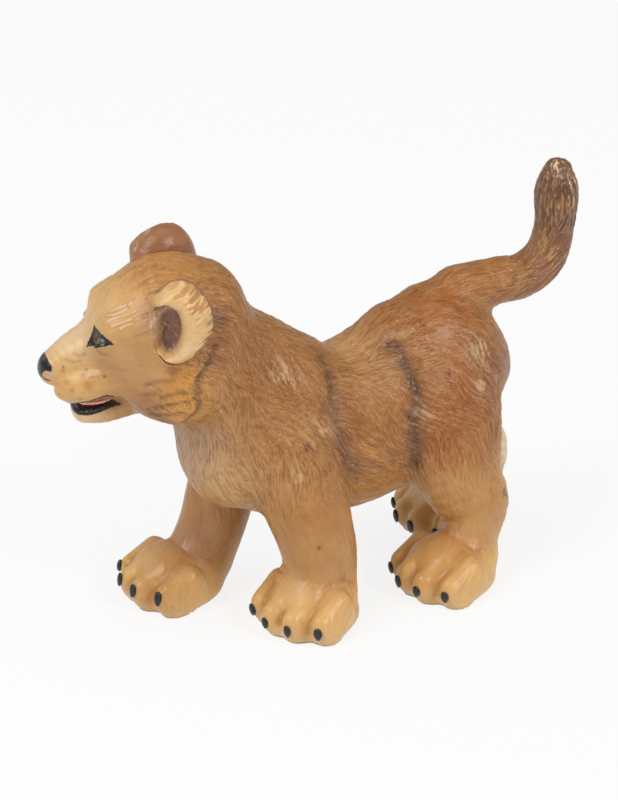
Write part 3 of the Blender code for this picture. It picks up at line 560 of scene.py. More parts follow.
# %% Directions of the fur
# Places on the left side in clay millimetres and the way the fur lies there. The right side mirrors them
BODY_COMBS = (
    ((-13.0, 0.0, 46.0), (0.85, 0.0, -0.50)),
    ((-16.0, -7.0, 40.0), (0.50, -0.2, -0.85)),
    ((-17.0, -7.5, 33.0), (0.35, -0.1, -0.95)),
    ((-22.0, -3.0, 26.0), (0.30, 0.0, -0.95)),
    ((-19.0, -4.0, 19.0), (0.50, 0.0, -0.85)),
    ((-6.0, 0.0, 37.0), (0.95, 0.0, -0.35)),
    ((-10.0, -8.0, 33.0), (0.65, 0.0, -0.75)),
    ((-11.0, -9.5, 26.0), (0.55, 0.0, -0.85)),
    ((2.0, 0.0, 34.0), (1.0, 0.0, 0.1)),
    ((1.0, -7.5, 31.0), (0.80, 0.0, -0.60)),
    ((2.0, -9.0, 25.0), (0.62, 0.0, -0.78)),
    ((3.0, -8.5, 18.0), (0.85, 0.0, -0.50)),
    ((3.0, 0.0, 12.0), (1.0, 0.0, 0.0)),
    ((12.0, 0.0, 38.0), (1.0, 0.0, 0.1)),
    ((12.0, -7.0, 34.0), (0.85, 0.0, -0.35)),
    ((13.0, -9.0, 28.0), (0.60, 0.0, -0.80)),
    ((20.0, -7.0, 28.0), (0.25, 0.0, -0.95)),
    ((13.0, -10.0, 20.0), (0.35, 0.0, -0.95)),
    ((16.0, -10.0, 13.0), (0.15, 0.0, -1.0)),
    ((24.0, 0.0, 38.0), (1.0, 0.0, 0.1)),
    ((25.0, -3.0, 32.0), (0.2, 0.0, -1.0)),
    ((-9.0, -10.5, 20.0), (0.30, 0.0, -0.95)),
    ((-8.0, -10.5, 12.0), (0.12, 0.0, -1.0)),
    ((-13.0, -10.0, 5.0), (-0.80, 0.0, -0.5)),
    ((8.0, -10.0, 5.0), (-0.80, 0.0, -0.5)),
    ((30.0, 0.0, 37.0), (1.0, 0.0, 0.1)),
    ((34.0, 0.0, 39.5), (0.6, 0.0, 0.8)),
    ((35.5, 0.0, 47.0), (0.0, 0.0, 1.0)),
)
# The same on the head, given forward, sideways and up from the head's centre
HEAD_COMBS = (
    ((14.0, 0.0, 0.0), (-1.0, 0.0, 0.4)),
    ((11.0, 0.0, 4.0), (-0.8, 0.0, 0.6)),
    ((9.5, 3.5, 5.5), (-0.80, 0.1, 0.55)),
    ((4.0, 2.0, 8.5), (-1.0, 0.0, 0.35)),
    ((-2.0, 0.0, 10.0), (-1.0, 0.0, 0.0)),
    ((6.0, 6.0, 6.0), (-0.95, 0.0, 0.30)),
    ((1.0, 5.0, 9.5), (-1.0, 0.0, 0.1)),
    ((9.0, 6.0, 0.0), (-1.0, 0.0, -0.05)),
    ((6.0, 7.0, -4.0), (-1.0, 0.0, -0.15)),
    ((2.0, 8.5, -5.0), (-1.0, 0.0, -0.30)),
    ((9.0, 4.0, -9.0), (-1.0, 0.0, -0.1)),
    ((-7.0, 4.0, 6.0), (-0.8, 0.0, -0.6)),
    ((-4.0, 8.0, 3.0), (-0.5, 0.0, -0.85)),
    ((3.0, 0.0, -12.0), (-0.8, 0.0, -0.6)),
)


def both_sides(rows):
    """Rows of places and directions, and the same rows mirrored to the other side."""
    rows = np.array(rows, float)
    return np.concatenate([rows, rows * (1.0, -1.0, 1.0)])


body_combs = both_sides(BODY_COMBS)
head_combs = both_sides(HEAD_COMBS)
COMB_PLACES = np.vstack([body_combs[:, 0], from_head(head_combs[:, 0])])
COMB_WAYS = np.vstack([body_combs[:, 1], head_combs[:, 1] @ HEAD_FRAME])
print("combs:", len(COMB_PLACES))

# %% [markdown]
# ## Strokes
# A single engraved hair is a short, thin dent along the comb's direction. Thousands of them look like noise
# that was smeared one way, and that is how they are made: soft random bumps are averaged along a short line
# that follows the fur. No hair is placed by hand, and the same numbers always give the same coat.

# %% Strokes of fur from averaged noise
LATTICE_SIDE, LATTICE_SEED = 64, 11
LATTICE = np.random.default_rng(LATTICE_SEED).random(LATTICE_SIDE**3) - 0.5
STROKE_GAIN = 1.1
COMB_CORE, SWAY, SWAY_GRAIN = 2.0, 1.5, 3.5


def soft_noise(points, grain):
    """Random lattice values one grain apart, blended between the eight nearest with 3t^2 - 2t^3."""
    places = (points / grain).T
    cell = np.floor(places)
    t = smooth_step(places - cell)
    low = cell.astype(np.int64) % LATTICE_SIDE
    high = (low + 1) % LATTICE_SIDE
    stride = np.array([[LATTICE_SIDE**2], [LATTICE_SIDE], [1]])
    corners, shares = np.stack([low, high]) * stride, np.stack([1.0 - t, t])
    total = np.zeros(len(points))
    for i, j, k in np.ndindex(2, 2, 2):
        value = LATTICE[corners[i, 0] + corners[j, 1] + corners[k, 2]]
        total += shares[i, 0] * shares[j, 1] * shares[k, 2] * value
    return total


def unit(ways):
    """Each direction divided by its own length."""
    return ways / (np.linalg.norm(ways, axis=1, keepdims=True) + TINY)


def combed(points, normals):
    """Sum of way / (r^2 + core^2)^2 over all combs, r being the distance to each, less its part along the
    normal, swayed a little to both sides by soft noise, and made unit length."""
    total = np.zeros_like(points)
    for place, way in zip(COMB_PLACES, COMB_WAYS):
        square = ((points - place) ** 2).sum(axis=1)
        total += way / (square[:, None] + COMB_CORE**2) ** 2
    total = unit(total)
    total = unit(total - (total * normals).sum(axis=1, keepdims=True) * normals)
    return unit(total + SWAY * soft_noise(points, SWAY_GRAIN)[:, None] * np.cross(normals, total))


def strokes(points, ways, width, length, taps=9):
    """tanh of noise averaged along a short line through each point and divided by its own spread. It
    changes fast across the fur and slowly along it."""
    places = np.linspace(-0.5, 0.5, taps) * length
    total = sum(soft_noise(points + p * ways, width) for p in places)
    return np.tanh(STROKE_GAIN * total / (total.std() + TINY))


print("noise lattice:", LATTICE.shape)

# %% [markdown]
# ## Sprays and brush lines
# An airbrush leaves a soft round patch, and a brush or a graver leaves a line. Both are distances: to a
# point for a spray, to a path for a line. The same two helpers place paint, fur depth and carving, so a
# mark that is both carved and darkened always lines up.

# %% Patches and lines
PATH_REACH = 5.0  # points further than this from a path's box are left out


def patch(points, centre, radius):
    """exp(-(r / radius)^2), with r the distance to the centre."""
    return np.exp(-((points - centre) ** 2).sum(axis=1) / radius**2)


def from_path(points, path):
    """The distance from each point to a path of straight spans, least over the spans."""
    path = np.asarray(path, float)
    nearest = np.full(len(points), FAR)
    low, high = path.min(axis=0) - PATH_REACH, path.max(axis=0) + PATH_REACH
    near = np.flatnonzero(((points > low) & (points < high)).all(axis=1))
    for a, b in zip(path, path[1:]):
        run = b - a
        t = np.clip((points[near] - a) @ run / (run @ run), 0.0, 1.0)
        gap = np.linalg.norm(points[near] - a - t[:, None] * run, axis=1)
        nearest[near] = np.minimum(nearest[near], gap)
    return nearest


def valley(points, paths, *steps):
    """The sum over paths of depth exp(-(gap / width)^2), for each (depth, width) of the steps."""
    total = np.zeros(len(points))
    for path in paths:
        gap = from_path(points, path)
        total += sum(depth * np.exp(-((gap / width) ** 2)) for depth, width in steps)
    return total


def on_clay(paths):
    """Given paths, smoothed and laid onto the clay together."""
    paths = [spline(path, 6) for path in paths]
    points = np.vstack(paths)
    for _ in range(3):
        points = drawn_on(points, CUB)[0]
    return np.split(points, np.cumsum([len(path) for path in paths])[:-1])


def mirrored(path, hand):
    """The path itself for hand 1, and its mirror image for hand -1."""
    return np.asarray(path, float) * (1.0, hand, 1.0)


def both_hands(paths, place=np.asarray):
    """Paths of the right side and their mirror images, laid onto the clay."""
    return on_clay([place(mirrored(path, hand)) for path in paths for hand in (-1, 1)])


print("a path reaches", PATH_REACH, "mm")

# %% [markdown]
# ## Carving
# Grooves run down behind the shoulder and before the thigh, raised tufts stripe the brow, and the ruff
# ends in a step against the neck. They are real shape and not only shading, so they go into the mesh as a
# height above the clay.

# %% Body grooves and head tufts as paths
SHOULDER_GROOVE = (
    (-4.1, 4.7, 34.7), (-4.1, 6.6, 32.2), (-4.8, 8.9, 27.8), (-3.9, 9.6, 23.4), (-2.5, 9.2, 20.6),
)
THIGH_GROOVE = (
    (6.2, 4.3, 34.0), (7.0, 5.2, 33.4), (7.5, 7.1, 30.9), (7.7, 8.6, 28.4), (7.0, 9.1, 24.9), (7.1, 9.3, 21.6),
    (7.3, 8.8, 18.3),
)
# Fine raised tufts over the eyes, in head directions
BROW_TUFTS = (
    ((10.1, 5.2, 4.6), (9.5, 5.4, 4.9), (8.6, 5.6, 5.3), (7.7, 5.7, 5.6)),
    ((10.7, 4.3, 4.7), (10.0, 4.6, 5.3), (9.2, 4.8, 5.6), (8.6, 5.0, 5.8), (7.8, 5.2, 6.1), (7.1, 5.2, 6.4)),
    ((10.4, 3.6, 5.4), (9.7, 4.2, 5.7), (9.0, 4.4, 6.0), (8.5, 4.5, 6.3), (7.9, 4.5, 6.5)),
    ((9.9, 3.6, 5.8), (9.3, 3.7, 6.1), (8.7, 3.8, 6.5), (8.0, 4.1, 6.8)),
    ((9.1, 5.8, 4.5), (8.4, 5.9, 4.9), (7.7, 6.0, 5.1)),
    ((7.6, 4.2, 6.9), (7.1, 4.2, 7.2)),
)
# Furrows across the ruff, and thin ones on the temple and behind the nose
RUFF_FURROWS = (
    ((6.5, 8.1, -3.8), (5.5, 8.6, -3.7)),
    ((4.7, 8.9, -4.2), (3.3, 9.3, -3.6), (1.5, 9.6, -3.4), (0.9, 9.7, -3.5)),
    ((6.1, 7.9, -6.1), (5.0, 8.6, -5.6), (3.8, 9.1, -5.2), (2.5, 9.5, -4.8), (1.6, 9.6, -4.6)),
    ((5.8, 7.7, -6.9), (4.4, 8.3, -6.8), (3.2, 8.8, -6.6), (2.2, 9.2, -6.3)),
    ((6.4, 8.1, -2.6), (4.9, 8.6, -2.0), (3.3, 9.0, -1.8)),
)
THIN_LINES = (
    ((7.6, 6.7, 3.7), (6.6, 7.0, 4.1), (5.8, 7.2, 4.5)),
    ((15.3, 2.2, -0.9), (14.4, 2.6, -1.1), (13.5, 3.0, -0.9)),
    ((14.2, 2.3, -0.2), (13.6, 2.7, -0.3), (13.0, 3.2, 0.1)),
)
SHOULDER_GROOVES, THIGH_GROOVES = both_hands([SHOULDER_GROOVE]), both_hands([THIGH_GROOVE])
TUFTS, FURROWS, LINES = (both_hands(paths, from_head) for paths in (BROW_TUFTS, RUFF_FURROWS, THIN_LINES))
# Clefts between the toes and the crease where the leg meets the paw, in shares of the paw
CLEFT_SPREADS = (-0.262, 0.0, 0.262)
CLEFT_SHARES = ((0.02, 0.90, 0.84), (0.16, 1.0, 0.72), (0.30, 1.06, 0.52), (0.42, 1.12, 0.26))
CREASE_SHARES = (
    (-0.34, 0.46, 0.80), (-0.10, 0.30, 0.95), (0.0, 0.0, 1.05), (-0.10, -0.30, 0.95), (-0.34, -0.46, 0.80),
)
CLEFTS = on_clay([
    [paw_place(leg, f, spread * s, u) for f, s, u in CLEFT_SHARES] for leg in LEGS for spread in CLEFT_SPREADS
])
CREASES = on_clay([[paw_place(leg, *share) for share in CREASE_SHARES] for leg in LEGS])
print("tufts:", len(TUFTS), "furrows:", len(FURROWS), "clefts:", len(CLEFTS))

# %% [markdown]
# ## Depth of the fur
# The comb bites deep on the back and the flanks, and hardly at all on the muzzle and the paws. Each row is a
# place where the fur is shallower. The ruff's rear edge is kept as a scalloped line from below to above.

# %% Depth of the fur, place by place
# Place, radius and how deep the fur is there, from 0 for bare vinyl to 1. Head rows are in head directions
BODY_FUR = (
    ((-14.0, 10.0, 3.0), 7.5, 0.05),
    ((8.0, 9.5, 3.0), 7.5, 0.05),
    ((16.0, 7.0, 2.5), 7.0, 0.05),
    ((-22.0, 9.0, 2.5), 6.5, 0.05),
    ((-8.0, 10.5, 13.0), 5.0, 0.45),
    ((-20.0, 8.0, 12.0), 5.0, 0.40),
    ((13.0, 11.0, 12.0), 4.5, 0.60),
    ((13.0, 6.3, 34.7), 1.6, 0.45),
)
HEAD_FUR = (
    ((15.0, 0.0, -3.0), 6.5, 0.10),
    ((11.3, 4.2, 2.2), 2.6, 0.05),
    ((10.0, 0.0, -9.0), 5.0, 0.15),
    ((8.5, 5.5, -1.0), 4.0, 0.45),
    ((8.5, 4.0, 6.0), 3.0, 0.45),
)
FUR_FLAT = 1.6  # how far above 1 a patch rises before it is cut off, which makes its middle flat


def fur_depth(points):
    """1, drawn towards each row's value by its patch, on both sides."""
    depth = np.ones(len(points))
    for rows, place in ((BODY_FUR, np.asarray), (HEAD_FUR, from_head)):
        for centre, radius, value in rows:
            for hand in (-1, 1):
                close = FUR_FLAT * patch(points, place(mirrored(centre, hand)), radius)
                depth += (value - depth) * np.minimum(1.0, close)
    return depth


# The ruff's scalloped rear edge from below to above: up and forward from the head's centre
RUFF_EDGE = (
    (-8.3, 2.5), (-7.4, 1.8), (-6.5, 1.0), (-5.6, 0.5), (-4.6, 0.65), (-4.15, 1.15), (-3.5, 0.4), (-3.0, 0.75),
    (-2.2, 0.8), (-1.4, 0.5), (-0.7, -0.3), (-0.2, -0.8), (0.8, -1.1), (2.5, -1.9),
)


def ruff_place(points):
    """How far a point is ahead of the ruff's edge, then 1 on the sides of the ruff, fading above and below,
    and last 1 in the furrow just behind its edge."""
    f, s, u = to_head(points).T
    up, forward = np.array(RUFF_EDGE).T
    ahead = f - np.interp(u, up, forward)
    ruff = smooth_step((np.abs(s) - 4.5) / 2.0) * smooth_step((u + 10.0) / 2.0) * smooth_step((2.6 - u) / 2.4)
    return ahead, ruff, ruff * np.exp(-(((ahead + 0.5) / 0.5) ** 2))


print("ruff edge:", len(RUFF_EDGE), "corners")

# %% [markdown]
# ## One height above the clay
# Grooves, lumps, lips, lids, ruff and fur are heights in millimetres, and they simply add up. A groove is a
# wide, soft step with a narrow, sharp one inside it, which is what a round graver leaves. Fur is made in
# two widths: fine strokes for single hairs and broad ones for locks.

# %% Relief
# What is carved along paths, in pairs of depth and width. Tufts are raised, so their depth is negative
CARVED = (
    (SHOULDER_GROOVES, (0.34, 1.6), (0.07, 0.6)),
    (THIGH_GROOVES, (0.34, 1.15), (0.10, 0.45)),
    (CLEFTS + CREASES, (0.15, 0.9), (0.08, 0.35)),
    (FURROWS, (0.22, 0.34)),
    (LINES, (0.07, 0.2)),
    (TUFTS, (-0.10, 0.13)),
)
# Places on the head, radii and heights: the right eye is set flatter, and the lip stands forward
HEAD_LUMPS = (((11.4, 4.0, 2.2), 1.7, -0.60), ((16.4, 1.5, -5.9), 1.4, 0.50), ((16.4, -1.5, -5.9), 1.4, 0.50))
LUMPS = [(from_head(place), radius, rise) for place, radius, rise in HEAD_LUMPS]
# The hollow between each outer toe and the paw's flank is filled
LUMPS += [(paw_place(leg, 0.12, side, 0.12), 1.9, 0.40) for leg in LEGS for side in (-0.45, 0.45)]
# Rough flash that the mould left on one wrist
WRIST_FLASH = ((-11.9, -6.9, 7.9), (-12.2, -6.6, 7.1), (-12.5, -6.1, 6.3))
FLASH_PROUD, FLASH_RADIUS, FLASH_GRAIN = 0.45, 0.7, 0.35
LIP_PROUD, TONGUE_DROP, LID_PROUD, LID_WIDTH = 0.13, 0.28, 0.12, 0.22
RUFF_PROUD, RUFF_RUN, RUFF_FURROW = 0.45, 2.4, 0.16
# Width, length and number of taps of the strokes, then how deep they are and how far they shade the paint
FINE, BROAD = (0.27, 2.8, 13), (0.70, 5.5, 11)
FINE_DEPTH, BROAD_DEPTH, FINE_SHADE, BROAD_SHADE, LEAST_SHADE = 0.060, 0.022, 0.9, 0.28, 0.08


def relief(points, ways):
    """The height of the surface above the clay in millimetres, the fur's own share of it and its depth."""
    height = -sum(valley(points, *row) for row in CARVED)
    height += sum(rise * patch(points, place, radius) for place, radius, rise in LUMPS)
    lips, tongue, lids = (np.clip(mark, -1.0, 1.0) for mark in (*mouth_marks(points), lid_mark(points)))
    height += LIP_PROUD * smooth_step(-lips / 0.25) - TONGUE_DROP * smooth_step((-tongue - 0.05) / 0.3)
    height += LID_PROUD * np.exp(-((lids / LID_WIDTH) ** 2))
    ahead, ruff, furrow = ruff_place(points)
    swell = smooth_step((ahead + 0.15) / 0.35) * np.exp(-np.maximum(ahead, 0.0) / RUFF_RUN)
    height += RUFF_PROUD * ruff * swell - RUFF_FURROW * furrow
    rough = FLASH_PROUD * smooth_step(0.5 + 3.0 * soft_noise(points, FLASH_GRAIN))
    height += rough * sum(patch(points, place, FLASH_RADIUS) for place in WRIST_FLASH)
    depth = fur_depth(points)
    fine, broad = strokes(points, ways, *FINE), strokes(points, ways, *BROAD)
    height += depth * (FINE_DEPTH * fine + BROAD_DEPTH * broad)
    shade = LEAST_SHADE + (1.0 - LEAST_SHADE) * depth
    return height, (FINE_SHADE * fine + BROAD_SHADE * broad) * shade, depth


print("carved kinds:", len(CARVED), "lumps:", len(LUMPS))

# %% [markdown]
# ## Paint
# The figure is cast in cream and then sprayed: tan all over the body, browner along the back and in the
# grooves, with the muzzle, brows, cheeks and paws left pale. Each row below is one pass of the airbrush.
# The colours are named like jars on a bench and are written as they look, in 0 to 255.

# %% Jars of paint
JARS = {
    "cream": (226, 185, 126),
    "bone": (234, 208, 168),
    "butter": (217, 171, 102),
    "honey": (200, 142, 74),
    "tan": (181, 127, 67),
    "sand": (190, 143, 90),
    "coat": (163, 105, 44),
    "amber": (156, 87, 18),
    "nut": (136, 85, 48),
    "mauve": (152, 106, 76),
    "bark": (94, 56, 32),
    "umber": (92, 60, 46),
    "gold": (206, 146, 60),
    "ochre": (180, 116, 52),
    "putty": (190, 158, 128),
    "hazel": (150, 98, 60),
    "den": (132, 98, 82),
    "rust": (116, 50, 24),
    "slate": (100, 90, 74),
}


def linear(rgb):
    """A colour written as it looks, in 0 to 255, as light: ((v + 0.055) / 1.055)^2.4 above 0.04."""
    v = np.array(rgb, float) / 255.0
    return np.where(v < 0.04, v / 12.92, ((v + 0.055) / 1.055) ** 2.4)


JAR = {name: linear(rgb) for name, rgb in JARS.items()}
print("jars:", len(JARS))

# %% [markdown]
# ## Passes of the airbrush
# A row is a place, a radius in millimetres, a jar and a strength. Body rows are in clay millimetres and head
# rows in the head's own directions. All of these are sprayed on both sides alike.
# One body row is a painted highlight along the back.
# One head row is a painted shadow behind the ear.

# %% Passes on the body and the head
# Heights on the body and the paint there, before any spray
BODY_LAYERS = ((0.0, "cream"), (4.6, "butter"), (8.0, "sand"), (13.0, "tan"), (21.0, "coat"), (80.0, "coat"))
BODY_SPRAYS_AND_HIGHLIGHT = (
    ((-22.0, 3.0, 24.0), 6.0, "putty", 0.50),
    ((-18.0, 0.0, 16.0), 6.0, "sand", 0.70),
    ((-12.0, 10.0, 23.0), 5.0, "honey", 0.25),
    ((3.0, 4.0, 12.0), 5.5, "honey", 0.70),
    ((14.5, 8.5, 27.5), 4.8, "amber", 0.75),
    ((11.0, 10.3, 23.0), 4.2, "amber", 0.80),
    ((-0.5, 9.0, 25.0), 4.5, "amber", 0.50),
    ((14.0, 5.0, 36.5), 6.0, "amber", 0.70),
    ((21.0, 7.0, 28.0), 3.8, "nut", 0.75),
    ((17.2, 8.0, 31.6), 1.6, "nut", 0.60),
    ((13.0, 10.5, 19.0), 3.0, "ochre", 0.35),
    ((13.0, 10.5, 13.5), 3.5, "butter", 0.55),
    ((22.5, 9.0, 14.0), 3.6, "butter", 0.70),
    ((-19.5, 6.5, 32.0), 2.8, "honey", 0.40),
    ((-16.0, 7.0, 38.0), 5.0, "nut", 0.20),
    ((-11.0, 11.0, 9.5), 3.0, "tan", 0.50),
    # painted highlight: lighter sand along the top of the back, where light grazes it
    ((1.0, 2.0, 34.5), 4.0, "sand", 0.45),
)
HEAD_SPRAYS_AND_SHADOW = (
    ((-2.0, 0.0, 10.5), 8.0, "coat", 0.85),
    ((-6.0, 6.0, 2.0), 6.0, "coat", 0.85),
    ((3.5, 2.5, 9.0), 4.5, "honey", 0.55),
    ((9.0, 0.0, 3.5), 4.5, "butter", 0.85),
    ((9.3, 4.0, 5.5), 3.2, "butter", 0.95),
    ((14.0, 0.0, 0.0), 4.5, "bone", 0.75),
    ((15.0, 3.0, -4.0), 4.0, "butter", 0.90),
    ((9.0, 6.5, 0.0), 3.4, "sand", 0.85),
    ((11.5, 5.2, -1.2), 1.8, "tan", 0.35),
    ((5.2, 7.0, 5.6), 2.4, "putty", 0.35),
    ((5.9, 6.3, 6.2), 0.9, "nut", 0.45),
    ((6.0, 8.0, -1.0), 2.6, "sand", 0.60),
    ((5.5, 7.5, -7.0), 3.0, "mauve", 0.75),
    ((1.6, 9.2, -3.0), 2.6, "gold", 0.90),
    ((1.8, 9.2, -6.0), 2.4, "gold", 0.90),
    ((4.0, 7.0, -9.5), 2.5, "mauve", 0.45),
    ((12.5, 0.0, -10.5), 3.8, "bone", 0.95),
    ((5.0, 0.0, -12.5), 4.0, "sand", 0.80),
    ((3.3, 8.8, -0.4), 0.8, "nut", 0.65),
    # painted shadow: dark umber just behind each ear, where the head lies in its shade
    ((-3.4, 7.6, 5.6), 1.5, "umber", 0.60),
    ((-2.0, 8.8, 1.0), 2.4, "nut", 0.45),
    ((17.4, 2.0, -2.7), 0.8, "putty", 0.85),
)
print("passes:", len(BODY_SPRAYS_AND_HIGHLIGHT) + len(HEAD_SPRAYS_AND_SHADOW))

# %% [markdown]
# ## Freckles, scuffs, smudges and painted sheen
# A toy that was carried about has rubs on its ridges, chips at the tip of its tail and specks of dirt. They
# are on the side that can be seen. Paint along the carving darkens each groove and lightens each tuft.
# Two pale patches high on the shoulder are painted sheen, where light catches the fur's ridges.

# %% Small marks
# Freckles on the whisker pads, and how wide each one is
FRECKLES = (
    ((15.7, 2.5, -2.3), 0.34), ((15.3, 3.2, -3.5), 0.38), ((14.9, 3.9, -4.4), 0.34), ((13.4, 3.7, -2.6), 0.42),
    ((13.0, 4.6, -3.6), 0.70), ((13.8, 4.0, -5.7), 0.30), ((16.1, 2.6, -5.3), 0.20), ((14.4, 3.1, -3.4), 0.22),
    ((13.6, 4.3, -4.6), 0.24), ((12.4, 4.4, -2.6), 0.26),
)
PORES = ((15.6, 2.4, -1.8), (12.9, 3.4, -2.0), (11.0, 4.9, -2.4))  # tiny dark specks of dirt
# Spots, scuffs, smudges and painted sheen that only the near side has
SCUFFS_AND_SHEEN = (
    ((-10.0, -9.9, 25.6), 0.45, "rust", 0.8),
    ((-9.7, -9.9, 26.3), 0.35, "rust", 0.6),
    ((10.3, -1.8, 37.1), 0.9, "slate", 0.75),
    ((16.9, -9.6, 27.8), 1.3, "bone", 0.42),
    ((18.3, -7.9, 31.0), 1.5, "bone", 0.30),
    ((18.1, -7.2, 32.9), 1.5, "bone", 0.30),
    # painted sheen: pale bone on the fur's ridges high on the shoulder, where light catches them
    ((-11.9, -6.6, 35.7), 1.7, "bone", 0.32),
    ((-11.2, -7.2, 33.9), 1.6, "bone", 0.26),
    ((-7.7, -9.5, 27.1), 1.8, "bone", 0.32),
    ((-11.7, -10.1, 22.1), 1.3, "bone", 0.28),
    ((0.5, -8.7, 22.5), 1.8, "gold", 0.60),
    ((7.4, -4.2, 34.7), 1.3, "bone", 0.20),
    ((8.1, -9.5, 25.2), 1.3, "bone", 0.35),
    ((19.9, -11.5, 12.1), 0.9, "umber", 0.95),
    ((12.5, -8.7, 30.2), 0.30, "rust", 0.95),
    ((18.3, -6.9, 33.5), 0.35, "umber", 0.80),
    ((-9.6, -12.0, 12.4), 0.30, "umber", 0.80),
    ((35.1, -1.2, 51.8), 1.2, "bone", 0.95),
    ((36.2, -2.5, 49.3), 1.1, "bone", 0.80),
    ((36.6, -2.7, 47.1), 0.8, "bone", 0.55),
    ((35.1, -2.9, 46.8), 1.4, "ochre", 0.55),
    ((32.2, -2.5, 39.2), 1.8, "ochre", 0.50),
)
# Passes that only one side has, at their own places: airbrush paint, and on the far legs painted shade and
# painted light
LONE_SPRAYS_AND_PAINTED_LIGHT = (
    # painted shade: mauve low on the far foreleg and tan on the inner front of its paw, which lie in shade
    ((-17.6, 5.5, 8.0), 4.0, "mauve", 0.55),
    ((-24.5, 3.6, 4.1), 4.0, "tan", 0.50),
    ((7.0, -12.9, 4.9), 3.0, "honey", 0.60),
    ((12.8, -11.4, 11.5), 3.5, "tan", 0.65),
    ((-19.3, -5.1, 20.4), 3.5, "butter", 0.50),
    ((30.5, 4.0, 10.5), 3.8, "bone", 1.00),
    # painted light: cream over the far hind paw, lifting the shade that falls on it
    ((16.0, 6.0, 3.0), 6.0, "cream", 0.90),
)
# Paint along the carved paths: the paths, a jar, and pairs of strength and width
BODY_SHADES = (
    (SHOULDER_GROOVES, "bark", (0.36, 2.2), (0.36, 0.8)),
    (THIGH_GROOVES, "bark", (0.42, 1.7), (0.55, 0.7)),
    (CLEFTS + CREASES, "ochre", (0.30, 1.1), (0.45, 0.35)),
)
HEAD_SHADES = (
    (FURROWS, "bark", (0.40, 0.34)),
    (LINES, "nut", (0.35, 0.22)),
    (TUFTS, "ochre", (0.50, 0.36)),
    (TUFTS, "bone", (0.85, 0.11)),
)
# Where the tail's dips begin and end along its run, each with a jar and a strength
TAIL_DIPS = ((0.0, 7.0, "nut", 0.90), (7.5, 17.5, "umber", 0.68))
print("freckles:", len(FRECKLES), "scuffs:", len(SCUFFS_AND_SHEEN))

# %% [markdown]
# ## Laying the paint on
# A point's colour starts from its height above the ground, and each pass then moves it part of the way to
# its jar. Body and head are painted apart and meet in a soft edge over the neck.

# %% The sprayed coat
SPRAY_FLAT, SCUFF_AND_SHEEN_FLAT = 1.25, 1.4  # how far above 1 a patch rises before it is cut off


def over(colour, jar, share):
    """colour + share (paint - colour), with the share kept from 0 to 1."""
    return colour + np.clip(share, 0.0, 1.0)[..., None] * (JAR[jar] - colour)


def sprayed(points, colour, place, rows, hands=(-1, 1)):
    """Each row's paint over the colour, by its strength times its patch, on both sides or on one."""
    for centre, radius, jar, strength in rows:
        for hand in hands if centre[1] else (1,):
            close = np.minimum(1.0, SPRAY_FLAT * patch(points, place(mirrored(centre, hand)), radius))
            colour = over(colour, jar, strength * close)
    return colour


def shaded(points, colour, rows):
    """Each row's paint over the colour, along its paths."""
    for paths, jar, *steps in rows:
        colour = over(colour, jar, valley(points, paths, *steps))
    return colour


def head_share(points):
    """1 on the head and 0 on the body, changing over the neck."""
    f, _, u = to_head(points).T
    return smooth_step((f - (-5.5 - 0.50 * u)) / 5.0 + 0.5) * smooth_step((points[:, 2] - 24.0) / 6.0)


def coat(points):
    """The sprayed colour of each point, as light."""
    levels = [level for level, _ in BODY_LAYERS]
    layers = np.array([JAR[jar] for _, jar in BODY_LAYERS])
    wander = points[:, 2] + 1.6 * soft_noise(points, 3.0)
    colour = np.stack([np.interp(wander, levels, layers[:, k]) for k in range(3)], axis=1)
    colour = shaded(points, sprayed(points, colour, np.array, BODY_SPRAYS_AND_HIGHLIGHT), BODY_SHADES)
    on_head = sprayed(points, np.tile(JAR["tan"], (len(points), 1)), from_head, HEAD_SPRAYS_AND_SHADOW)
    # painted shadow: bark in the furrow just behind the ruff's edge, where the ruff overhangs the neck
    on_head = over(shaded(points, on_head, HEAD_SHADES), "bark", 0.65 * ruff_place(points)[2])
    for hand in (-1, 1):
        for spot, radius in FRECKLES:
            on_head = over(on_head, "ochre", 0.75 * patch(points, from_head(mirrored(spot, hand)), radius))
        for spot in PORES:
            on_head = over(on_head, "umber", patch(points, from_head(mirrored(spot, hand)), 0.16))
    share = head_share(points)[:, None]
    colour = tail_dip(points, colour + share * (on_head - colour))
    return sprayed(points, colour, np.array, LONE_SPRAYS_AND_PAINTED_LIGHT, (1,))


def scuffed_and_sheened(points, colour, fur):
    """Rubs, chips and painted sheen: small ones are solid, larger ones only catch the ridges of the fur."""
    ridges = smooth_step(0.15 + 1.1 * fur + 1.2 * soft_noise(points, 0.6))
    for centre, radius, jar, strength in SCUFFS_AND_SHEEN:
        share = strength * np.minimum(1.0, SCUFF_AND_SHEEN_FLAT * patch(points, centre, radius))
        colour = over(colour, jar, share if radius < 0.5 else share * ridges)
    return colour


def tail_dip(points, colour):
    """The tail darkens towards its tip, as if dipped: coat, then nut, then umber along its run."""
    x, _, z = points.T
    run = np.maximum(x - 25.0, 0.0) + 1.1 * np.maximum(z - 38.5, 0.0) * (x > 28.0)
    for start, end, jar, strength in TAIL_DIPS:
        colour = over(colour, jar, strength * smooth_step((run - start) / (end - start)) * (x > 24.0))
    return colour


print("tail dips:", len(TAIL_DIPS))

# %% [markdown]
# ## Hand-painted marks
# Eyes, nose and lips have crisp edges. Their edge is kept as a signed distance in millimetres, negative
# inside the mark, because a distance stays sharp between mesh points where a painted colour would blur.
# The material cuts it at zero.

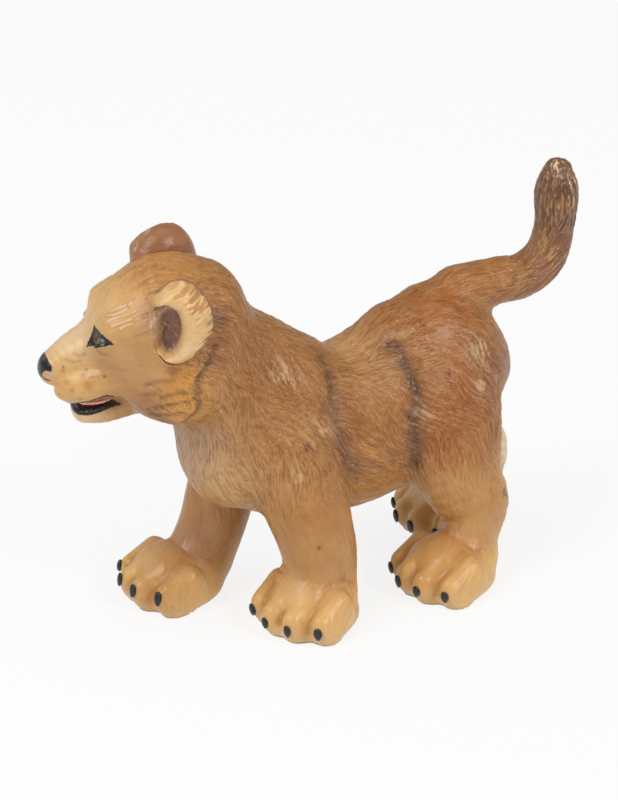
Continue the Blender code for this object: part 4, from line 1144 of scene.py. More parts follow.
# %% Outlines on the face and their signed distances
# The eye's outline, right side: front corner, a step on the lower lid, rear corner, upper lid, apex
EYE_OUTLINE = (
    (12.75, 2.80, 0.75),
    (12.15, 3.30, 1.25),
    (11.50, 4.30, 1.40),
    (10.60, 5.10, 1.95),
    (9.90, 5.70, 2.45),
    (10.90, 4.55, 3.25),
    (11.45, 3.55, 3.55),
    (11.65, 2.65, 3.75),
    (12.05, 2.60, 2.40),
)
EYE_BAND = 0.50
EYE_SHIFTS = ((-1, 0.0), (1, 1.2))  # the far eye sits further out and back
NOSTRIL_LINE = ((18.3, 0.9, -3.3), (17.8, 1.5, -3.7), (17.2, 2.0, -3.8))
# The mouth from the side, forward and up: the dark lower lip and the pink between the lips
LOWER_LIP = (
    (18.0, -7.1), (14.6, -6.95), (13.5, -6.9), (13.1, -8.05), (12.5, -8.1), (11.8, -7.95), (11.1, -7.65),
    (10.2, -7.2), (9.4, -6.9), (8.6, -7.2), (9.3, -7.5), (10.0, -7.8), (10.7, -8.2), (11.6, -8.6), (12.4, -8.85),
    (13.2, -9.05), (13.9, -9.15), (18.0, -9.4),
)
TONGUE_OUTLINE = (
    (13.6, -6.75), (12.8, -6.4), (12.2, -5.95), (11.5, -5.5), (10.8, -5.3), (10.1, -5.6), (9.4, -6.85),
    (10.2, -7.25), (11.1, -7.7), (11.8, -8.0), (12.5, -8.15), (13.2, -8.1), (13.5, -7.4),
)
UPPER_LIP = (
    (18.0, -7.0), (14.7, -6.75), (13.5, -6.6), (12.7, -6.2), (12.1, -5.7), (11.4, -5.25), (10.8, -5.05),
    (10.0, -5.2),
)
UPPER_LIP_WIDTH = 0.34


def outline_distance(flat, shape):
    """The signed distance to a closed outline, negative inside: the least distance to a side, inside being
    where a line to the right crosses an odd number of sides."""
    shape = np.asarray(shape, float)
    nearest, inside = np.full(len(flat), FAR), np.zeros(len(flat), bool)
    for a, b in zip(shape, np.roll(shape, -1, axis=0)):
        run = b - a
        t = np.clip((flat - a) @ run / (run @ run), 0.0, 1.0)
        nearest = np.minimum(nearest, np.linalg.norm(flat - a - t[:, None] * run, axis=1))
        level = (a[1] > flat[:, 1]) != (b[1] > flat[:, 1])
        inside ^= level & (flat[:, 0] < a[0] + (flat[:, 1] - a[1]) * run[0] / (run[1] + TINY))
    return np.where(inside, -nearest, nearest)


def lid_mark(points):
    """The signed distance to the eyes' outlines, measured in the plane through three of their corners."""
    nearest = np.full(len(points), FAR)
    for hand, shift in EYE_SHIFTS:
        corners = from_head(mirrored(np.array(EYE_OUTLINE) + (-0.6 * shift, shift, 0.0), hand))
        across = corners[4] - corners[0]
        across /= np.linalg.norm(across)
        off = np.cross(across, corners[7] - corners[0])
        off /= np.linalg.norm(off)
        near = np.flatnonzero(np.linalg.norm(points - corners[2], axis=1) < 4.0)
        axes = np.stack([across, np.cross(off, across)], axis=1)
        marked = outline_distance((points[near] - corners[0]) @ axes, (corners - corners[0]) @ axes)
        nearest[near] = np.minimum(nearest[near], marked)
    return nearest


def eye_black(points, lids):
    """Distance to the black of the eyes: a band inside the outline, and a pupil."""
    black = np.abs(lids + EYE_BAND / 2) - EYE_BAND / 2
    for hand, shift in EYE_SHIFTS:
        pupil = from_head((11.55 - 0.6 * shift, hand * (3.95 + shift), 2.45))
        black = np.minimum(black, np.linalg.norm(points - pupil, axis=1) - 0.40)
    return black


def nose_mark(points):
    """Distance to the black of the nose: a flattened ball at its tip, less the bare wings below."""
    head = to_head(points)
    ball = np.linalg.norm((head - (18.3, 0.0, -2.35)) / (2.3, 2.5, 1.4), axis=1) * 1.8 - 1.8
    folded = np.stack([head[:, 0], np.abs(head[:, 1]), head[:, 2]], axis=1)
    wing = 1.1 - np.linalg.norm(folded - (17.5, 2.1, -3.5), axis=1)
    nostril = from_path(folded, NOSTRIL_LINE) - 0.13
    return np.minimum(np.maximum(ball, wing), nostril)


def mouth_marks(points):
    """Signed distances, seen from the side, to the dark of the lips and to the pink between them."""
    head = to_head(points)
    lips, tongue = np.full(len(points), FAR), np.full(len(points), FAR)
    near = np.flatnonzero((head[:, 0] > 6.0) & (head[:, 2] > -12.0) & (head[:, 2] < -3.0))
    flat = head[near][:, [0, 2]]
    upper = from_path(flat, UPPER_LIP) - UPPER_LIP_WIDTH / 2
    lips[near] = np.minimum(outline_distance(flat, LOWER_LIP), upper)
    tongue[near] = outline_distance(flat, TONGUE_OUTLINE)
    return lips, tongue


print("eye outline:", len(EYE_OUTLINE), "corners, lower lip:", len(LOWER_LIP))

# %% [markdown]
# ## Making the mouldings
# Now each construction solid gets its skin: net, swelling, drawing onto the clay, relief along the
# outward direction, and paint into attributes. Soles stay flat, because the cub stands on them.

# %% Skins of the seven mouldings
# Moulding, slot, and size of its net in millimetres
SKINS = (
    ("head", "tan_vinyl", 0.156),
    ("torso", "tan_vinyl", 0.250),
    ("tail", "brown_vinyl", 0.150),
    ("left_foreleg", "tan_vinyl", 0.160),
    ("right_foreleg", "tan_vinyl", 0.180),
    ("left_hind_leg", "tan_vinyl", 0.160),
    ("right_hind_leg", "tan_vinyl", 0.190),
)
SOLE = 0.22  # the height under which a paw is pressed flat
FOLD_DIVE = 0.22


def set_attributes(mesh, colour, lie, **values):
    """Paint as a colour per point, the lie of the fur as a vector, and each mark or stroke as a number."""
    paint = np.hstack([colour, np.ones((len(colour), 1))])
    rows = [("paint", "FLOAT_COLOR", "color", paint), ("lie", "FLOAT_VECTOR", "vector", lie)]
    rows += [(name, "FLOAT", "value", numbers) for name, numbers in values.items()]
    for name, kind, field, numbers in rows:
        attribute = mesh.attributes.new(name, kind, "POINT")
        attribute.data.foreach_set(field, numbers.astype(np.float32).ravel())


def lie_of(ways, depth):
    """The fur's angle in the plane of length and height, as depth (cos 2a, sin 2a, 1)."""
    x, z = ways[:, 0], ways[:, 2]
    twice = np.stack([x * x - z * z, 2.0 * x * z, np.ones(len(x))], axis=1)
    return depth[:, None] * twice


def set_points(mesh, points):
    """Clay millimetres written into the mesh as metres of the frame, with smooth shading."""
    world = (points + CLAY_TO_FRAME) * MM
    mesh.vertices.foreach_set("co", world.astype(np.float32).ravel())
    mesh.polygons.foreach_set("use_smooth", np.ones(len(mesh.polygons), bool))
    mesh.update()


def skin(node, voxel):
    """The finished skin of one moulding."""
    obj, points, quads = net(node, node + "_skin", voxel)
    points = points + SEAM_SWELL * net_normals(points, quads)
    points, normals, weight = drawn_on(points, CUB)
    # Where a skin folds in towards a seam it dives, so that neither of the two edges stands proud
    facing = (net_normals(points, quads) * normals).sum(axis=1)
    points = points - (FOLD_DIVE * weight * smooth_step((0.9 - facing) / 0.6))[:, None] * normals
    count = len(points)
    height, fur, colour = np.zeros(count), np.zeros(count), np.tile(JAR["tan"], (count, 1))
    lie = np.zeros((count, 3))
    marks = {name: np.full(count, FAR) for name in ("ink", "gold", "pink")}
    seen = np.flatnonzero(weight > 0.0)
    spot = points[seen]
    ways = combed(spot, normals[seen])
    height[seen], fur[seen], depth = relief(spot, ways)
    lie[seen] = lie_of(ways, depth)
    colour[seen] = scuffed_and_sheened(spot, coat(spot), fur[seen])
    if node == "head":
        lips, marks["pink"][seen] = mouth_marks(spot)
        marks["gold"][seen] = lid_mark(spot)
        eyes = eye_black(spot, marks["gold"][seen])
        marks["ink"][seen] = np.minimum(np.minimum(eyes, nose_mark(spot)), lips)
        inside = distance(points, MOUTH) < 0.30
        marks["ink"][inside & (weight < 0.5)] = -0.5
        weight = np.where(inside, 0.0, weight)
    points = points + (weight * height)[:, None] * normals
    points[:, 2] = np.where(points[:, 2] < SOLE, 0.0, points[:, 2])
    set_points(obj.data, points)
    set_attributes(obj.data, colour, lie, fur=fur, **(marks if node == "head" else {}))
    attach(obj, "root")
    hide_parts(node)
    print(obj.name, 2 * len(quads), "triangles")
    return obj


skins = {node: skin(node, voxel) for node, slot, voxel in SKINS}

# %% [markdown]
# ## Materials
# Soft vinyl under paint has a satin sheen, a fine grain, and paint that is thinner on the ridges of the
# fur than in its furrows. One node group holds that effect, and each material places it with its own
# numbers. The black and gold marks are glossier enamel, cut from the distances.

# %% A group for airbrushed vinyl
def value_socket(group, name, kind, way, default=None):
    socket = group.interface.new_socket(name, in_out=way, socket_type=kind)
    if default is not None:
        socket.default_value = default
    return socket


class Nodes:
    """Short words for adding and joining nodes."""

    def __init__(self, tree):
        self.tree = tree

    def add(self, kind, settings=None, **inputs):
        node = self.tree.nodes.new(kind)
        for name, setting in (settings or {}).items():
            setattr(node, name, setting)
        for name, source in inputs.items():
            slot = node.inputs[int(name[1:])] if name[0] == "i" and name[1:].isdigit() else node.inputs[name]
            if isinstance(source, bpy.types.NodeSocket):
                self.tree.links.new(source, slot)
            else:
                slot.default_value = source
        return node

    def math(self, operation, *sources, clamp=False):
        inputs = {f"i{k}": source for k, source in enumerate(sources)}
        return self.add("ShaderNodeMath", {"operation": operation, "use_clamp": clamp}, **inputs).outputs[0]

    def mix(self, share, a, b, blend="MIX"):
        settings = {"data_type": "RGBA", "blend_type": blend}
        return self.add("ShaderNodeMix", settings, i0=share, i6=a, i7=b).outputs[2]

    def attribute(self, name, output="Fac"):
        return self.add("ShaderNodeAttribute", {"attribute_name": name}).outputs[output]

    def noise(self, vector, scale, detail=2.0, rough=0.5):
        inputs = {"Vector": vector, "Scale": scale, "Detail": detail, "Roughness": rough}
        return self.add("ShaderNodeTexNoise", None, **inputs).outputs["Fac"]

    def ramp(self, value, low, high, to_low=0.0, to_high=1.0):
        inputs = {"Value": value, "From Min": low, "From Max": high, "To Min": to_low, "To Max": to_high}
        return self.add("ShaderNodeMapRange", {"interpolation_type": "SMOOTHSTEP"}, **inputs).outputs[0]


print("helpers:", [name for name in vars(Nodes) if not name.startswith("_")])

# %% [markdown]
# ## Hair lines, wear and grain
# The mesh carries strokes down to a third of a millimetre. Finer lines are left to the shader: noise
# stretched along six fixed directions, of which the one nearest to the lie of the fur shows. Paint is
# darker in the furrows and rubbed pale on the ridges.

# %% The vinyl group
HAIR_WAYS, HAIR_SCALE, HAIR_STRETCH, HAIR_GAIN = 6, 4600.0, 12.0, 9.0
# Tints: paint pooled in a furrow, paint rubbed on a ridge, bare casting in a nick, and dirt
POOLED, RUBBED = (0.52, 0.38, 0.28, 1.0), (0.80, 0.55, 0.25, 1.0)
NICKED, DIRTY = (0.78, 0.62, 0.44, 1.0), (0.12, 0.05, 0.03, 1.0)


def hair_lines(n, place, lie):
    """Hair-fine lines along the fur, near -1 to 1. Noise is stretched along six fixed ways a, and each is
    weighted by max(0, cos 2(a - b))^3, with b the fur's own angle."""
    split = n.add("ShaderNodeSeparateXYZ", None, Vector=lie).outputs
    total = 0.0
    for k in range(HAIR_WAYS):
        angle = math.pi * k / HAIR_WAYS
        aligned = n.math("MULTIPLY", split["X"], math.cos(2 * angle))
        aligned = n.math("MULTIPLY_ADD", split["Y"], math.sin(2 * angle), aligned)
        weight = n.math("POWER", n.math("MAXIMUM", aligned, 0.0), 3.0)
        turned = n.add("ShaderNodeMapping", {"vector_type": "TEXTURE"}, Vector=place)
        turned.inputs["Rotation"].default_value = (0.0, -angle, 0.0)
        turned.inputs["Scale"].default_value = (HAIR_STRETCH, 1.0, 1.0)
        line = n.math("SUBTRACT", n.noise(turned.outputs[0], HAIR_SCALE, 1.0), 0.5)
        total = n.math("MULTIPLY_ADD", line, weight, total)
    return n.math("MULTIPLY", total, HAIR_GAIN)


def vinyl_group():
    """Colour, roughness and height of airbrushed vinyl from paint, fur and the point's own place."""
    group = bpy.data.node_groups.new("airbrushed vinyl", "ShaderNodeTree")
    value_socket(group, "Paint", "NodeSocketColor", "INPUT")
    value_socket(group, "Fur", "NodeSocketFloat", "INPUT", 0.0)
    value_socket(group, "Lie", "NodeSocketVector", "INPUT")
    value_socket(group, "Wear", "NodeSocketFloat", "INPUT", 0.5)
    value_socket(group, "Sheen Break", "NodeSocketFloat", "INPUT", 0.5)
    value_socket(group, "Colour", "NodeSocketColor", "OUTPUT")
    value_socket(group, "Roughness", "NodeSocketFloat", "OUTPUT")
    value_socket(group, "Height", "NodeSocketFloat", "OUTPUT")
    n = Nodes(group)
    given = n.add("NodeGroupInput").outputs
    place = n.add("ShaderNodeTexCoord").outputs["Object"]
    blotch = n.noise(place, 260.0, 3.0, 0.6)
    grain = n.noise(place, 5200.0, 3.0, 0.6)
    fleck = n.noise(place, 2400.0, 1.0)
    # Furrows hold paint and ridges lose it
    hair = hair_lines(n, place, given["Lie"])
    fur = n.math("MULTIPLY_ADD", hair, 1.0, n.math("MULTIPLY", given["Fur"], 0.7))
    furrow = n.ramp(fur, 0.1, -1.3, 0.0, 0.68)
    ridge = n.ramp(fur, 0.3, 1.4, 0.0, 0.62)
    dark = n.mix(1.0, given["Paint"], POOLED, "MULTIPLY")
    pale = n.mix(0.40, given["Paint"], RUBBED)
    colour = n.mix(furrow, given["Paint"], dark)
    colour = n.mix(n.math("MULTIPLY", ridge, given["Wear"]), colour, pale)
    # Soft blotches of thick and thin paint, and a fine grain
    colour = n.mix(0.16, colour, n.mix(n.ramp(blotch, 0.30, 0.70), dark, pale))
    colour = n.mix(n.ramp(grain, 0.35, 0.80, 0.0, 0.10), colour, dark)
    # Small pale nicks where paint came off a ridge, and dust that settled in a furrow
    nick = n.math("MULTIPLY", n.ramp(fleck, 0.69, 0.75), n.ramp(fur, 0.5, 1.3))
    colour = n.mix(n.math("MULTIPLY", nick, given["Wear"]), colour, NICKED)
    speck = n.math("MULTIPLY", n.ramp(n.noise(place, 3100.0, 1.0), 0.755, 0.79), 0.55)
    colour = n.mix(speck, colour, DIRTY)
    broken = n.math("MULTIPLY", given["Sheen Break"], 0.14)
    rough = n.ramp(blotch, 0.3, 0.7, 0.28, 0.40)
    rough = n.math("MULTIPLY_ADD", n.ramp(grain, 0.3, 0.8), broken, rough)
    height = n.math("MULTIPLY_ADD", n.noise(place, 1500.0, 2.0), 0.6, n.math("MULTIPLY", grain, 0.5))
    height = n.math("MULTIPLY_ADD", hair, 0.70, height)
    out = n.add("NodeGroupOutput")
    for name, source in (("Colour", colour), ("Roughness", rough), ("Height", height)):
        group.links.new(source, out.inputs[name])
    return group


VINYL = vinyl_group()
print("group sockets:", [item.name for item in VINYL.interface.items_tree])

# %% [markdown]
# ## Vinyl with enamel marks
# The body's vinyl is the group alone. The face also reads the distance to each mark: below zero it is
# painted, with an edge a tenth of a millimetre wide that wobbles a little, as a brush does.

# %% Vinyl materials
# Each mark: its attribute, half the width of its edge, its mottle's scale and range, and its two tones
MARKS = (
    ("pink", 0.05, 1300.0, (0.40, 0.70), (0.72, 0.28, 0.19, 1.0), (0.52, 0.17, 0.11, 1.0)),
    ("gold", 0.04, 2600.0, (0.42, 0.60), (0.17, 0.115, 0.045, 1.0), (0.045, 0.035, 0.02, 1.0)),
    ("ink", 0.05, 900.0, (0.45, 0.75), (0.012, 0.011, 0.011, 1.0), (0.035, 0.028, 0.024, 1.0)),
)
WOBBLE, ENAMEL_ROUGH = 0.06, 0.24


def new_material(name):
    """A new material, the nodes in it and its shader."""
    material = bpy.data.materials.new(name)
    material.use_nodes = True
    return material, Nodes(material.node_tree), material.node_tree.nodes["Principled BSDF"]


def vinyl(name, wear, sheen_break, enamel=False):
    """A satin vinyl. With enamel it also reads the marks' distances and paints them glossy."""
    material, n, shader = new_material(name)
    given = {"Paint": n.attribute("paint", "Color"), "Fur": n.attribute("fur")}
    group = n.add("ShaderNodeGroup", {"node_tree": VINYL}, Lie=n.attribute("lie", "Vector"), **given)
    group.inputs["Wear"].default_value = wear
    group.inputs["Sheen Break"].default_value = sheen_break
    colour, rough, height = (group.outputs[k] for k in ("Colour", "Roughness", "Height"))
    if enamel:
        place = n.add("ShaderNodeTexCoord").outputs["Object"]
        wobble = n.ramp(n.noise(place, 1800.0, 2.0), 0.2, 0.8, -WOBBLE, WOBBLE)
        for mark, edge, scale, (low, high), tone, other in MARKS:
            share = n.ramp(n.math("ADD", n.attribute(mark), wobble), edge, -edge)
            mottle = n.ramp(n.noise(place, scale, 2.0), low, high)
            colour = n.mix(share, colour, n.mix(mottle, tone, other))
        rough = n.ramp(share, 0.0, 1.0, rough, ENAMEL_ROUGH)
    bump = n.add("ShaderNodeBump", None, Height=height, Strength=0.55, Distance=0.00005)
    n.tree.links.new(colour, shader.inputs["Base Color"])
    n.tree.links.new(rough, shader.inputs["Roughness"])
    n.tree.links.new(bump.outputs["Normal"], shader.inputs["Normal"])
    return material


COAT_VINYL = vinyl("sprayed_coat_vinyl", 0.6, 0.6)
FACE_VINYL = vinyl("sprayed_face_vinyl", 0.5, 0.5, enamel=True)
TAIL_VINYL = vinyl("scuffed_tail_vinyl", 1.0, 0.7)
for node, obj in skins.items():
    obj.data.materials.clear()
    obj.data.materials.append({"head": FACE_VINYL, "tail": TAIL_VINYL}.get(node, COAT_VINYL))
print("materials:", [m.name for m in (COAT_VINYL, FACE_VINYL, TAIL_VINYL)])

# %% [markdown]
# ## Ears
# An ear is a thick, round, cupped flap. Its hollow lies near the front, where the rim runs down into the
# cheek, and behind it a broad pale wall rises to the rim, notched with tufts. It is a surface of two
# parameters, the angle round the ear and the way from the hollow over the rim to the back, so the wall,
# rim and back are one profile that changes with the angle.

# %% Ear profile
EAR_AROUND, EAR_ACROSS = 420, 170
# Where along the profile the floor, the roll's inner side, its outer side and the back begin and end
STATIONS = (0.0, 0.24, 0.46, 0.74, 1.0)
ROLL_TOP, ROLL_CREST, ROLL_LIP, ROLL_EDGE = 0.40, 0.95, -0.85, -1.25
EAR_SKIRT, SKIRT_PROUD, SKIRT_SINK = 1.3, 0.08, 0.45  # the front runs out over the cheek and sinks into it
EAR_REAR = {-1: 0.82, 1: 1.08}  # the near ear is folded narrower than the far one
EAR_NOTCH = {-1: 0.045, 1: 0.01}  # and its rim is notched deeper
EAR_LIE = (-0.90, 0.42, 0.0)  # its small tufts lie backwards and a little up


def ear_edge(a):
    """The way r from the hollow's middle h along direction d to the ear's oval: |(h + r d) / half| = 1."""
    half = np.array([EAR_WIDTH, EAR_HEIGHT]) / 2
    way, middle = np.stack([np.cos(a), np.sin(a)], axis=-1) / half, np.array(HOLLOW_PLACE) / half
    square, cross = (way**2).sum(axis=-1), (way * middle).sum(axis=-1)
    return (-cross + np.sqrt(cross**2 - square * ((middle**2).sum() - 1.0))) / square


def clay_level(hand, f, u):
    """How far out the clay's skin lies under each place of the ear, found in a few small steps."""
    out = np.zeros(f.size)
    for _ in range(5):
        out -= 0.9 * flesh(ear_place(hand, f.ravel(), u.ravel(), out), CUB)
    return out.reshape(f.shape)


def ear_strokes(hand, f, u, width, length):
    """Strokes of fur in the ear's own plane."""
    flat = np.stack([f, u, np.full(f.shape, 7.0 * hand)], axis=-1).reshape(-1, 3)
    return strokes(flat, np.array(EAR_LIE), width, length).reshape(f.shape)


def ear_surface(hand):
    """A grid of angle a round the hollow and way t along a profile of four quarter turns q: the floor rises
    as 1 - cos q, the roll's inner side as sin q, its outer side falls as 1 - cos q and the back as sin q.
    Towards the front the roll gives way to the cheek."""
    a = np.linspace(0.0, 2 * math.pi, EAR_AROUND, endpoint=False)[:, None]
    t = np.linspace(0.0, 1.0, EAR_ACROSS)[None, :]
    spans = zip(STATIONS, STATIONS[1:])
    quarters = (math.pi / 2 * np.clip((t - start) / (end - start), 0.0, 1.0) for start, end in spans)
    floor, inner, outer, back = quarters
    front, behind = smooth_step((np.cos(a) - 0.10) / 0.65), smooth_step(0.35 - np.cos(a))
    edge = ear_edge(a) * (1.0 + (EAR_REAR[hand] - 1.0) * smooth_step(-1.2 * np.cos(a))) + EAR_SKIRT * front
    rim = np.minimum(1.0 / np.hypot(np.cos(a) / HOLLOW_HALF[0], np.sin(a) / HOLLOW_HALF[1]), 0.80 * edge)
    x = ROLL_TOP * (1.0 - np.cos(inner)) + (1.0 - ROLL_TOP) * outer / (math.pi / 2)
    rim_f, rim_u = HOLLOW_PLACE[0] + edge * np.cos(a), HOLLOW_PLACE[1] + edge * np.sin(a)
    tooth = smooth_step(-ear_strokes(hand, rim_f, rim_u, 0.42, 1.6))
    notch = EAR_NOTCH[hand] * behind * tooth * x**3 * np.clip(1.0 - 3.0 * back, 0.0, 1.0)
    reach = (np.sin(floor) * rim + x * (edge * (1.0 - notch) - rim)) * np.maximum(np.cos(back), 0.0) ** 0.8
    f = HOLLOW_PLACE[0] * np.cos(back) + reach * np.cos(a)
    u = HOLLOW_PLACE[1] * np.cos(back) + reach * np.sin(a)
    crest = ROLL_CREST * (0.55 + 0.45 * behind)
    out = -HOLLOW_DEPTH + (HOLLOW_DEPTH + ROLL_LIP) * (1.0 - np.cos(floor))
    out = out + (crest - ROLL_LIP) * np.sin(inner) - (crest - ROLL_EDGE) * (1.0 - np.cos(outer))
    skirt = clay_level(hand, f, u) + SKIRT_PROUD - SKIRT_SINK * smooth_step(x)
    cheek = skirt - (skirt + HOLLOW_DEPTH) * (1.0 - smooth_step(np.sin(floor)))
    out = out + front * (cheek - out)
    edge_out = out[:, [int(STATIONS[3] * (EAR_ACROSS - 1))]]
    turn = 2.0 * back / math.pi
    out = np.where(back > 0.0, edge_out * (1.0 - turn) - EAR_THICKNESS * np.sin(back), out)
    return f, u, out, *np.broadcast_arrays(a, t, x, turn, front, behind)


print("ear net:", EAR_AROUND, "by", EAR_ACROSS)

# %% [markdown]
# ## Closed nets
# A surface of two parameters becomes a mesh by joining each point to its neighbours. The first parameter
# runs round and closes on itself, and both ends of the second are pinched to a point. Ears, claws and
# tongue are all made this way.

# %% Nets of two parameters
def closed_grid(points, around, across):
    """A net that is closed round its first parameter, with both end rows pinched to a pole. Gives its
    points, its squares and its triangles as arrays."""
    grid = points.reshape(around, across, -1)
    poles = np.stack([grid[:, 0].mean(axis=0), grid[:, -1].mean(axis=0)])
    rows = across - 2
    k, r = np.meshgrid(np.arange(around), np.arange(rows - 1), indexing="ij")
    n = (k + 1) % around
    quads = np.stack([k * rows + r, n * rows + r, n * rows + r + 1, k * rows + r + 1], axis=-1).reshape(-1, 4)
    k = np.arange(around)
    n = (k + 1) % around
    first, last = np.full(around, around * rows), np.full(around, around * rows + 1)
    caps = [np.stack([n * rows, k * rows, first], axis=-1)]
    caps.append(np.stack([k * rows + rows - 1, n * rows + rows - 1, last], axis=-1))
    return np.vstack([grid[:, 1:-1].reshape(around * rows, -1), poles]), quads, np.vstack(caps)


def new_mesh(name, points, quads, triangles):
    """A mesh object from points in clay millimetres, with its faces turned outwards."""
    mesh = bpy.data.meshes.new(name)
    mesh.from_pydata(((points + CLAY_TO_FRAME) * MM).tolist(), [], quads.tolist() + triangles.tolist())
    form = bmesh.new()
    form.from_mesh(mesh)
    bmesh.ops.recalc_face_normals(form, faces=form.faces)
    form.to_mesh(mesh)
    form.free()
    mesh.polygons.foreach_set("use_smooth", np.ones(len(mesh.polygons), bool))
    return placed(name, mesh)


print("a net of 4 by 4 has", len(closed_grid(np.zeros((16, 3)), 4, 4)[1]), "squares")

# %% [markdown]
# ## Painting the ears
# The wall and rim are cream, with thin dark gaps between the tufts. The hollow is a warm shadow with
# lighter crumbs, the front takes the cheek's own paint where it runs into it, and the back is brown.

# %% Ears
EAR_TUFT = ((1.5, 2.9), (2.3, 2.1), (3.2, 1.1), (4.2, -0.1))  # a pale tuft across the hollow's front
EAR_TUFT_WIDTH, EAR_TUFT_PROUD, SMALL_PROUD, LUMP_PROUD, FUZZ_PROUD = 0.55, 0.40, 0.10, 0.30, 0.02


def ear(node, hand):
    """The finished ear on one side: surface, relief, paint and hand-over."""
    f, u, out, a, t, x, turn, front, behind = ear_surface(hand)
    shown = np.clip(1.0 - 6.0 * turn, 0.0, 1.0)
    upper = smooth_step(1.2 * np.sin(a) + 0.3)
    small = ear_strokes(hand, f, u, 0.32, 1.7)
    comb = behind * smooth_step((x - 0.60 + 0.25 * upper) / 0.22) * shown
    off_tuft = from_path(np.stack([f, u], axis=-1).reshape(-1, 2), EAR_TUFT).reshape(f.shape)
    tuft = np.exp(-((off_tuft / EAR_TUFT_WIDTH) ** 2)) * (t < STATIONS[2])
    lumps = soft_noise(np.stack([f, u, out], axis=-1).reshape(-1, 3), 0.33).reshape(f.shape)
    deep = smooth_step((STATIONS[1] + 0.02 - t) / 0.10)
    out = out + SMALL_PROUD * comb * small + EAR_TUFT_PROUD * tuft + LUMP_PROUD * deep * lumps
    points = ear_place(hand, f, u, out).reshape(-1, 3)
    fuzz = strokes(points, np.tile(-AHEAD, (len(points), 1)), 0.3, 2.0)
    points = points + (FUZZ_PROUD * fuzz * (t.ravel() > STATIONS[1]))[:, None] * ear_axes(hand)[2]
    # Cream, shaded hollow and crumbs, then the cheek's own paint at the front
    cheek = coat(points).reshape(*f.shape, 3)
    colour = np.tile(JAR["cream"], (*f.shape, 1))
    colour = over(colour, "bone", 0.35 * smooth_step(-np.sin(a) * 1.5) * behind)
    colour = over(colour, "den", deep * (0.98 - 0.30 * front))
    colour = over(colour, "mauve", deep * smooth_step((u - 0.6) / 2.0))
    colour = over(colour, "putty", deep * 0.9 * smooth_step(lumps * 3.0 - 0.55))
    merged = front * smooth_step((t - 0.30 * STATIONS[1]) / (0.5 * STATIONS[1]))
    colour = colour + merged[..., None] * (cheek - colour)
    colour = over(colour, "putty", 0.8 * tuft)
    # Dark gaps between the tufts, above and below
    stripe = behind * smooth_step((x - 0.40) / 0.15) * smooth_step(1.4 * np.sin(a) - 0.1) * shown
    colour = over(colour, "ochre", 0.85 * stripe * smooth_step(-0.15 - 1.6 * small))
    gap = behind * smooth_step((x - 0.72) / 0.15) * smooth_step(0.9 - 1.5 * np.sin(a)) * shown
    colour = over(colour, "nut", 0.80 * gap * smooth_step(-0.05 - 1.6 * small))
    # The brown back. On the right ear it starts at the rim, which is rubbed at the top
    if hand > 0:
        colour = over(colour, "hazel", smooth_step((x - 0.40) / 0.15))
    colour = over(colour, "hazel", smooth_step(turn / 0.10) * (1.0 if hand > 0 else 1.0 - front))
    if hand > 0:
        worn = np.exp(-(((turn - 0.03) / 0.03) ** 2)) * np.exp(-(((a - 1.5) / 0.3) ** 2))
        colour = over(colour, "cream", 0.8 * worn * smooth_step(0.6 + fuzz.reshape(f.shape)))
    grid, quads, caps = closed_grid(points, EAR_AROUND, EAR_ACROSS)
    obj = new_mesh(node + "_flap", grid, quads, caps)
    given = np.dstack([np.maximum(colour, 0.0), 0.5 * fuzz.reshape(f.shape)])
    given = closed_grid(given.reshape(-1, 4), EAR_AROUND, EAR_ACROSS)[0]
    set_attributes(obj.data, given[:, :3], np.zeros((len(grid), 3)), fur=given[:, 3])
    obj.data.materials.append(EAR_VINYL)
    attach(obj, "root")
    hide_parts(node)
    print(obj.name, 2 * len(quads) + len(caps), "triangles")
    return obj


EAR_VINYL = vinyl("cream_ear_vinyl", 0.5, 0.4)
ears = [ear("left_ear", -1), ear("right_ear", 1)]

# %% [markdown]
# ## Claws
# Each toe ends in a small black claw, a drop with its point down, moulded proud of the toe and touched
# with gloss enamel. One drop is a stretched ball whose lower half narrows, and the same drop, made a
# little uneven, is set against all sixteen toes.

# %% Sixteen claws
CLAW_LENGTH, CLAW_WIDTH, CLAW_DEPTH = 1.9, 1.1, 0.75
CLAW_AROUND, CLAW_ALONG = 20, 16


def drop():
    """A ball (cos v sin w, sin v, cos v cos w) scaled to the claw, its width times 1 - 0.6 s^1.3 where s is
    how far a point is into the lower half."""
    v = np.linspace(-math.pi / 2, math.pi / 2, CLAW_ALONG)[None, :]
    w = np.linspace(0.0, 2 * math.pi, CLAW_AROUND, endpoint=False)[:, None]
    narrow = 1.0 - 0.6 * np.maximum(-np.sin(v), 0.0) ** 1.3
    across = CLAW_WIDTH / 2 * np.cos(v) ** 0.7 * np.sin(w) * narrow
    out = CLAW_DEPTH / 2 * np.cos(v) * np.cos(w)
    up = np.broadcast_to(CLAW_LENGTH / 2 * np.sin(v), across.shape)
    return np.stack([across, out, up], axis=-1).reshape(-1, 3)


def claw_seats():
    """The claws' middles on the clay, found by drawing a point ahead of each toe's tip onto it, and for each
    one its axes across, out and up along the toe's front."""
    tips = []
    for name in LEGS:
        ahead, aside = paw_axes(name)
        for spread, reach in zip(TOE_SPREAD_SHARES, TOE_REACH_SHARES):
            fan = ahead + 0.9 * spread * aside
            level = 0.42 if name == "right_foreleg" else 0.30
            tips.append(paw_place(name, reach, spread, level) + fan * TOE_WIDTH_SHARE * PAW_WIDTH * 0.95)
    tips = np.array(tips)
    for _ in range(3):
        tips, out, _ = drawn_on(tips, CUB)
    out /= np.linalg.norm(out, axis=1, keepdims=True)
    up = UP - (out @ UP)[:, None] * out
    up /= np.linalg.norm(up, axis=1, keepdims=True)
    return tips, np.stack([np.cross(up, out), out, up], axis=1)


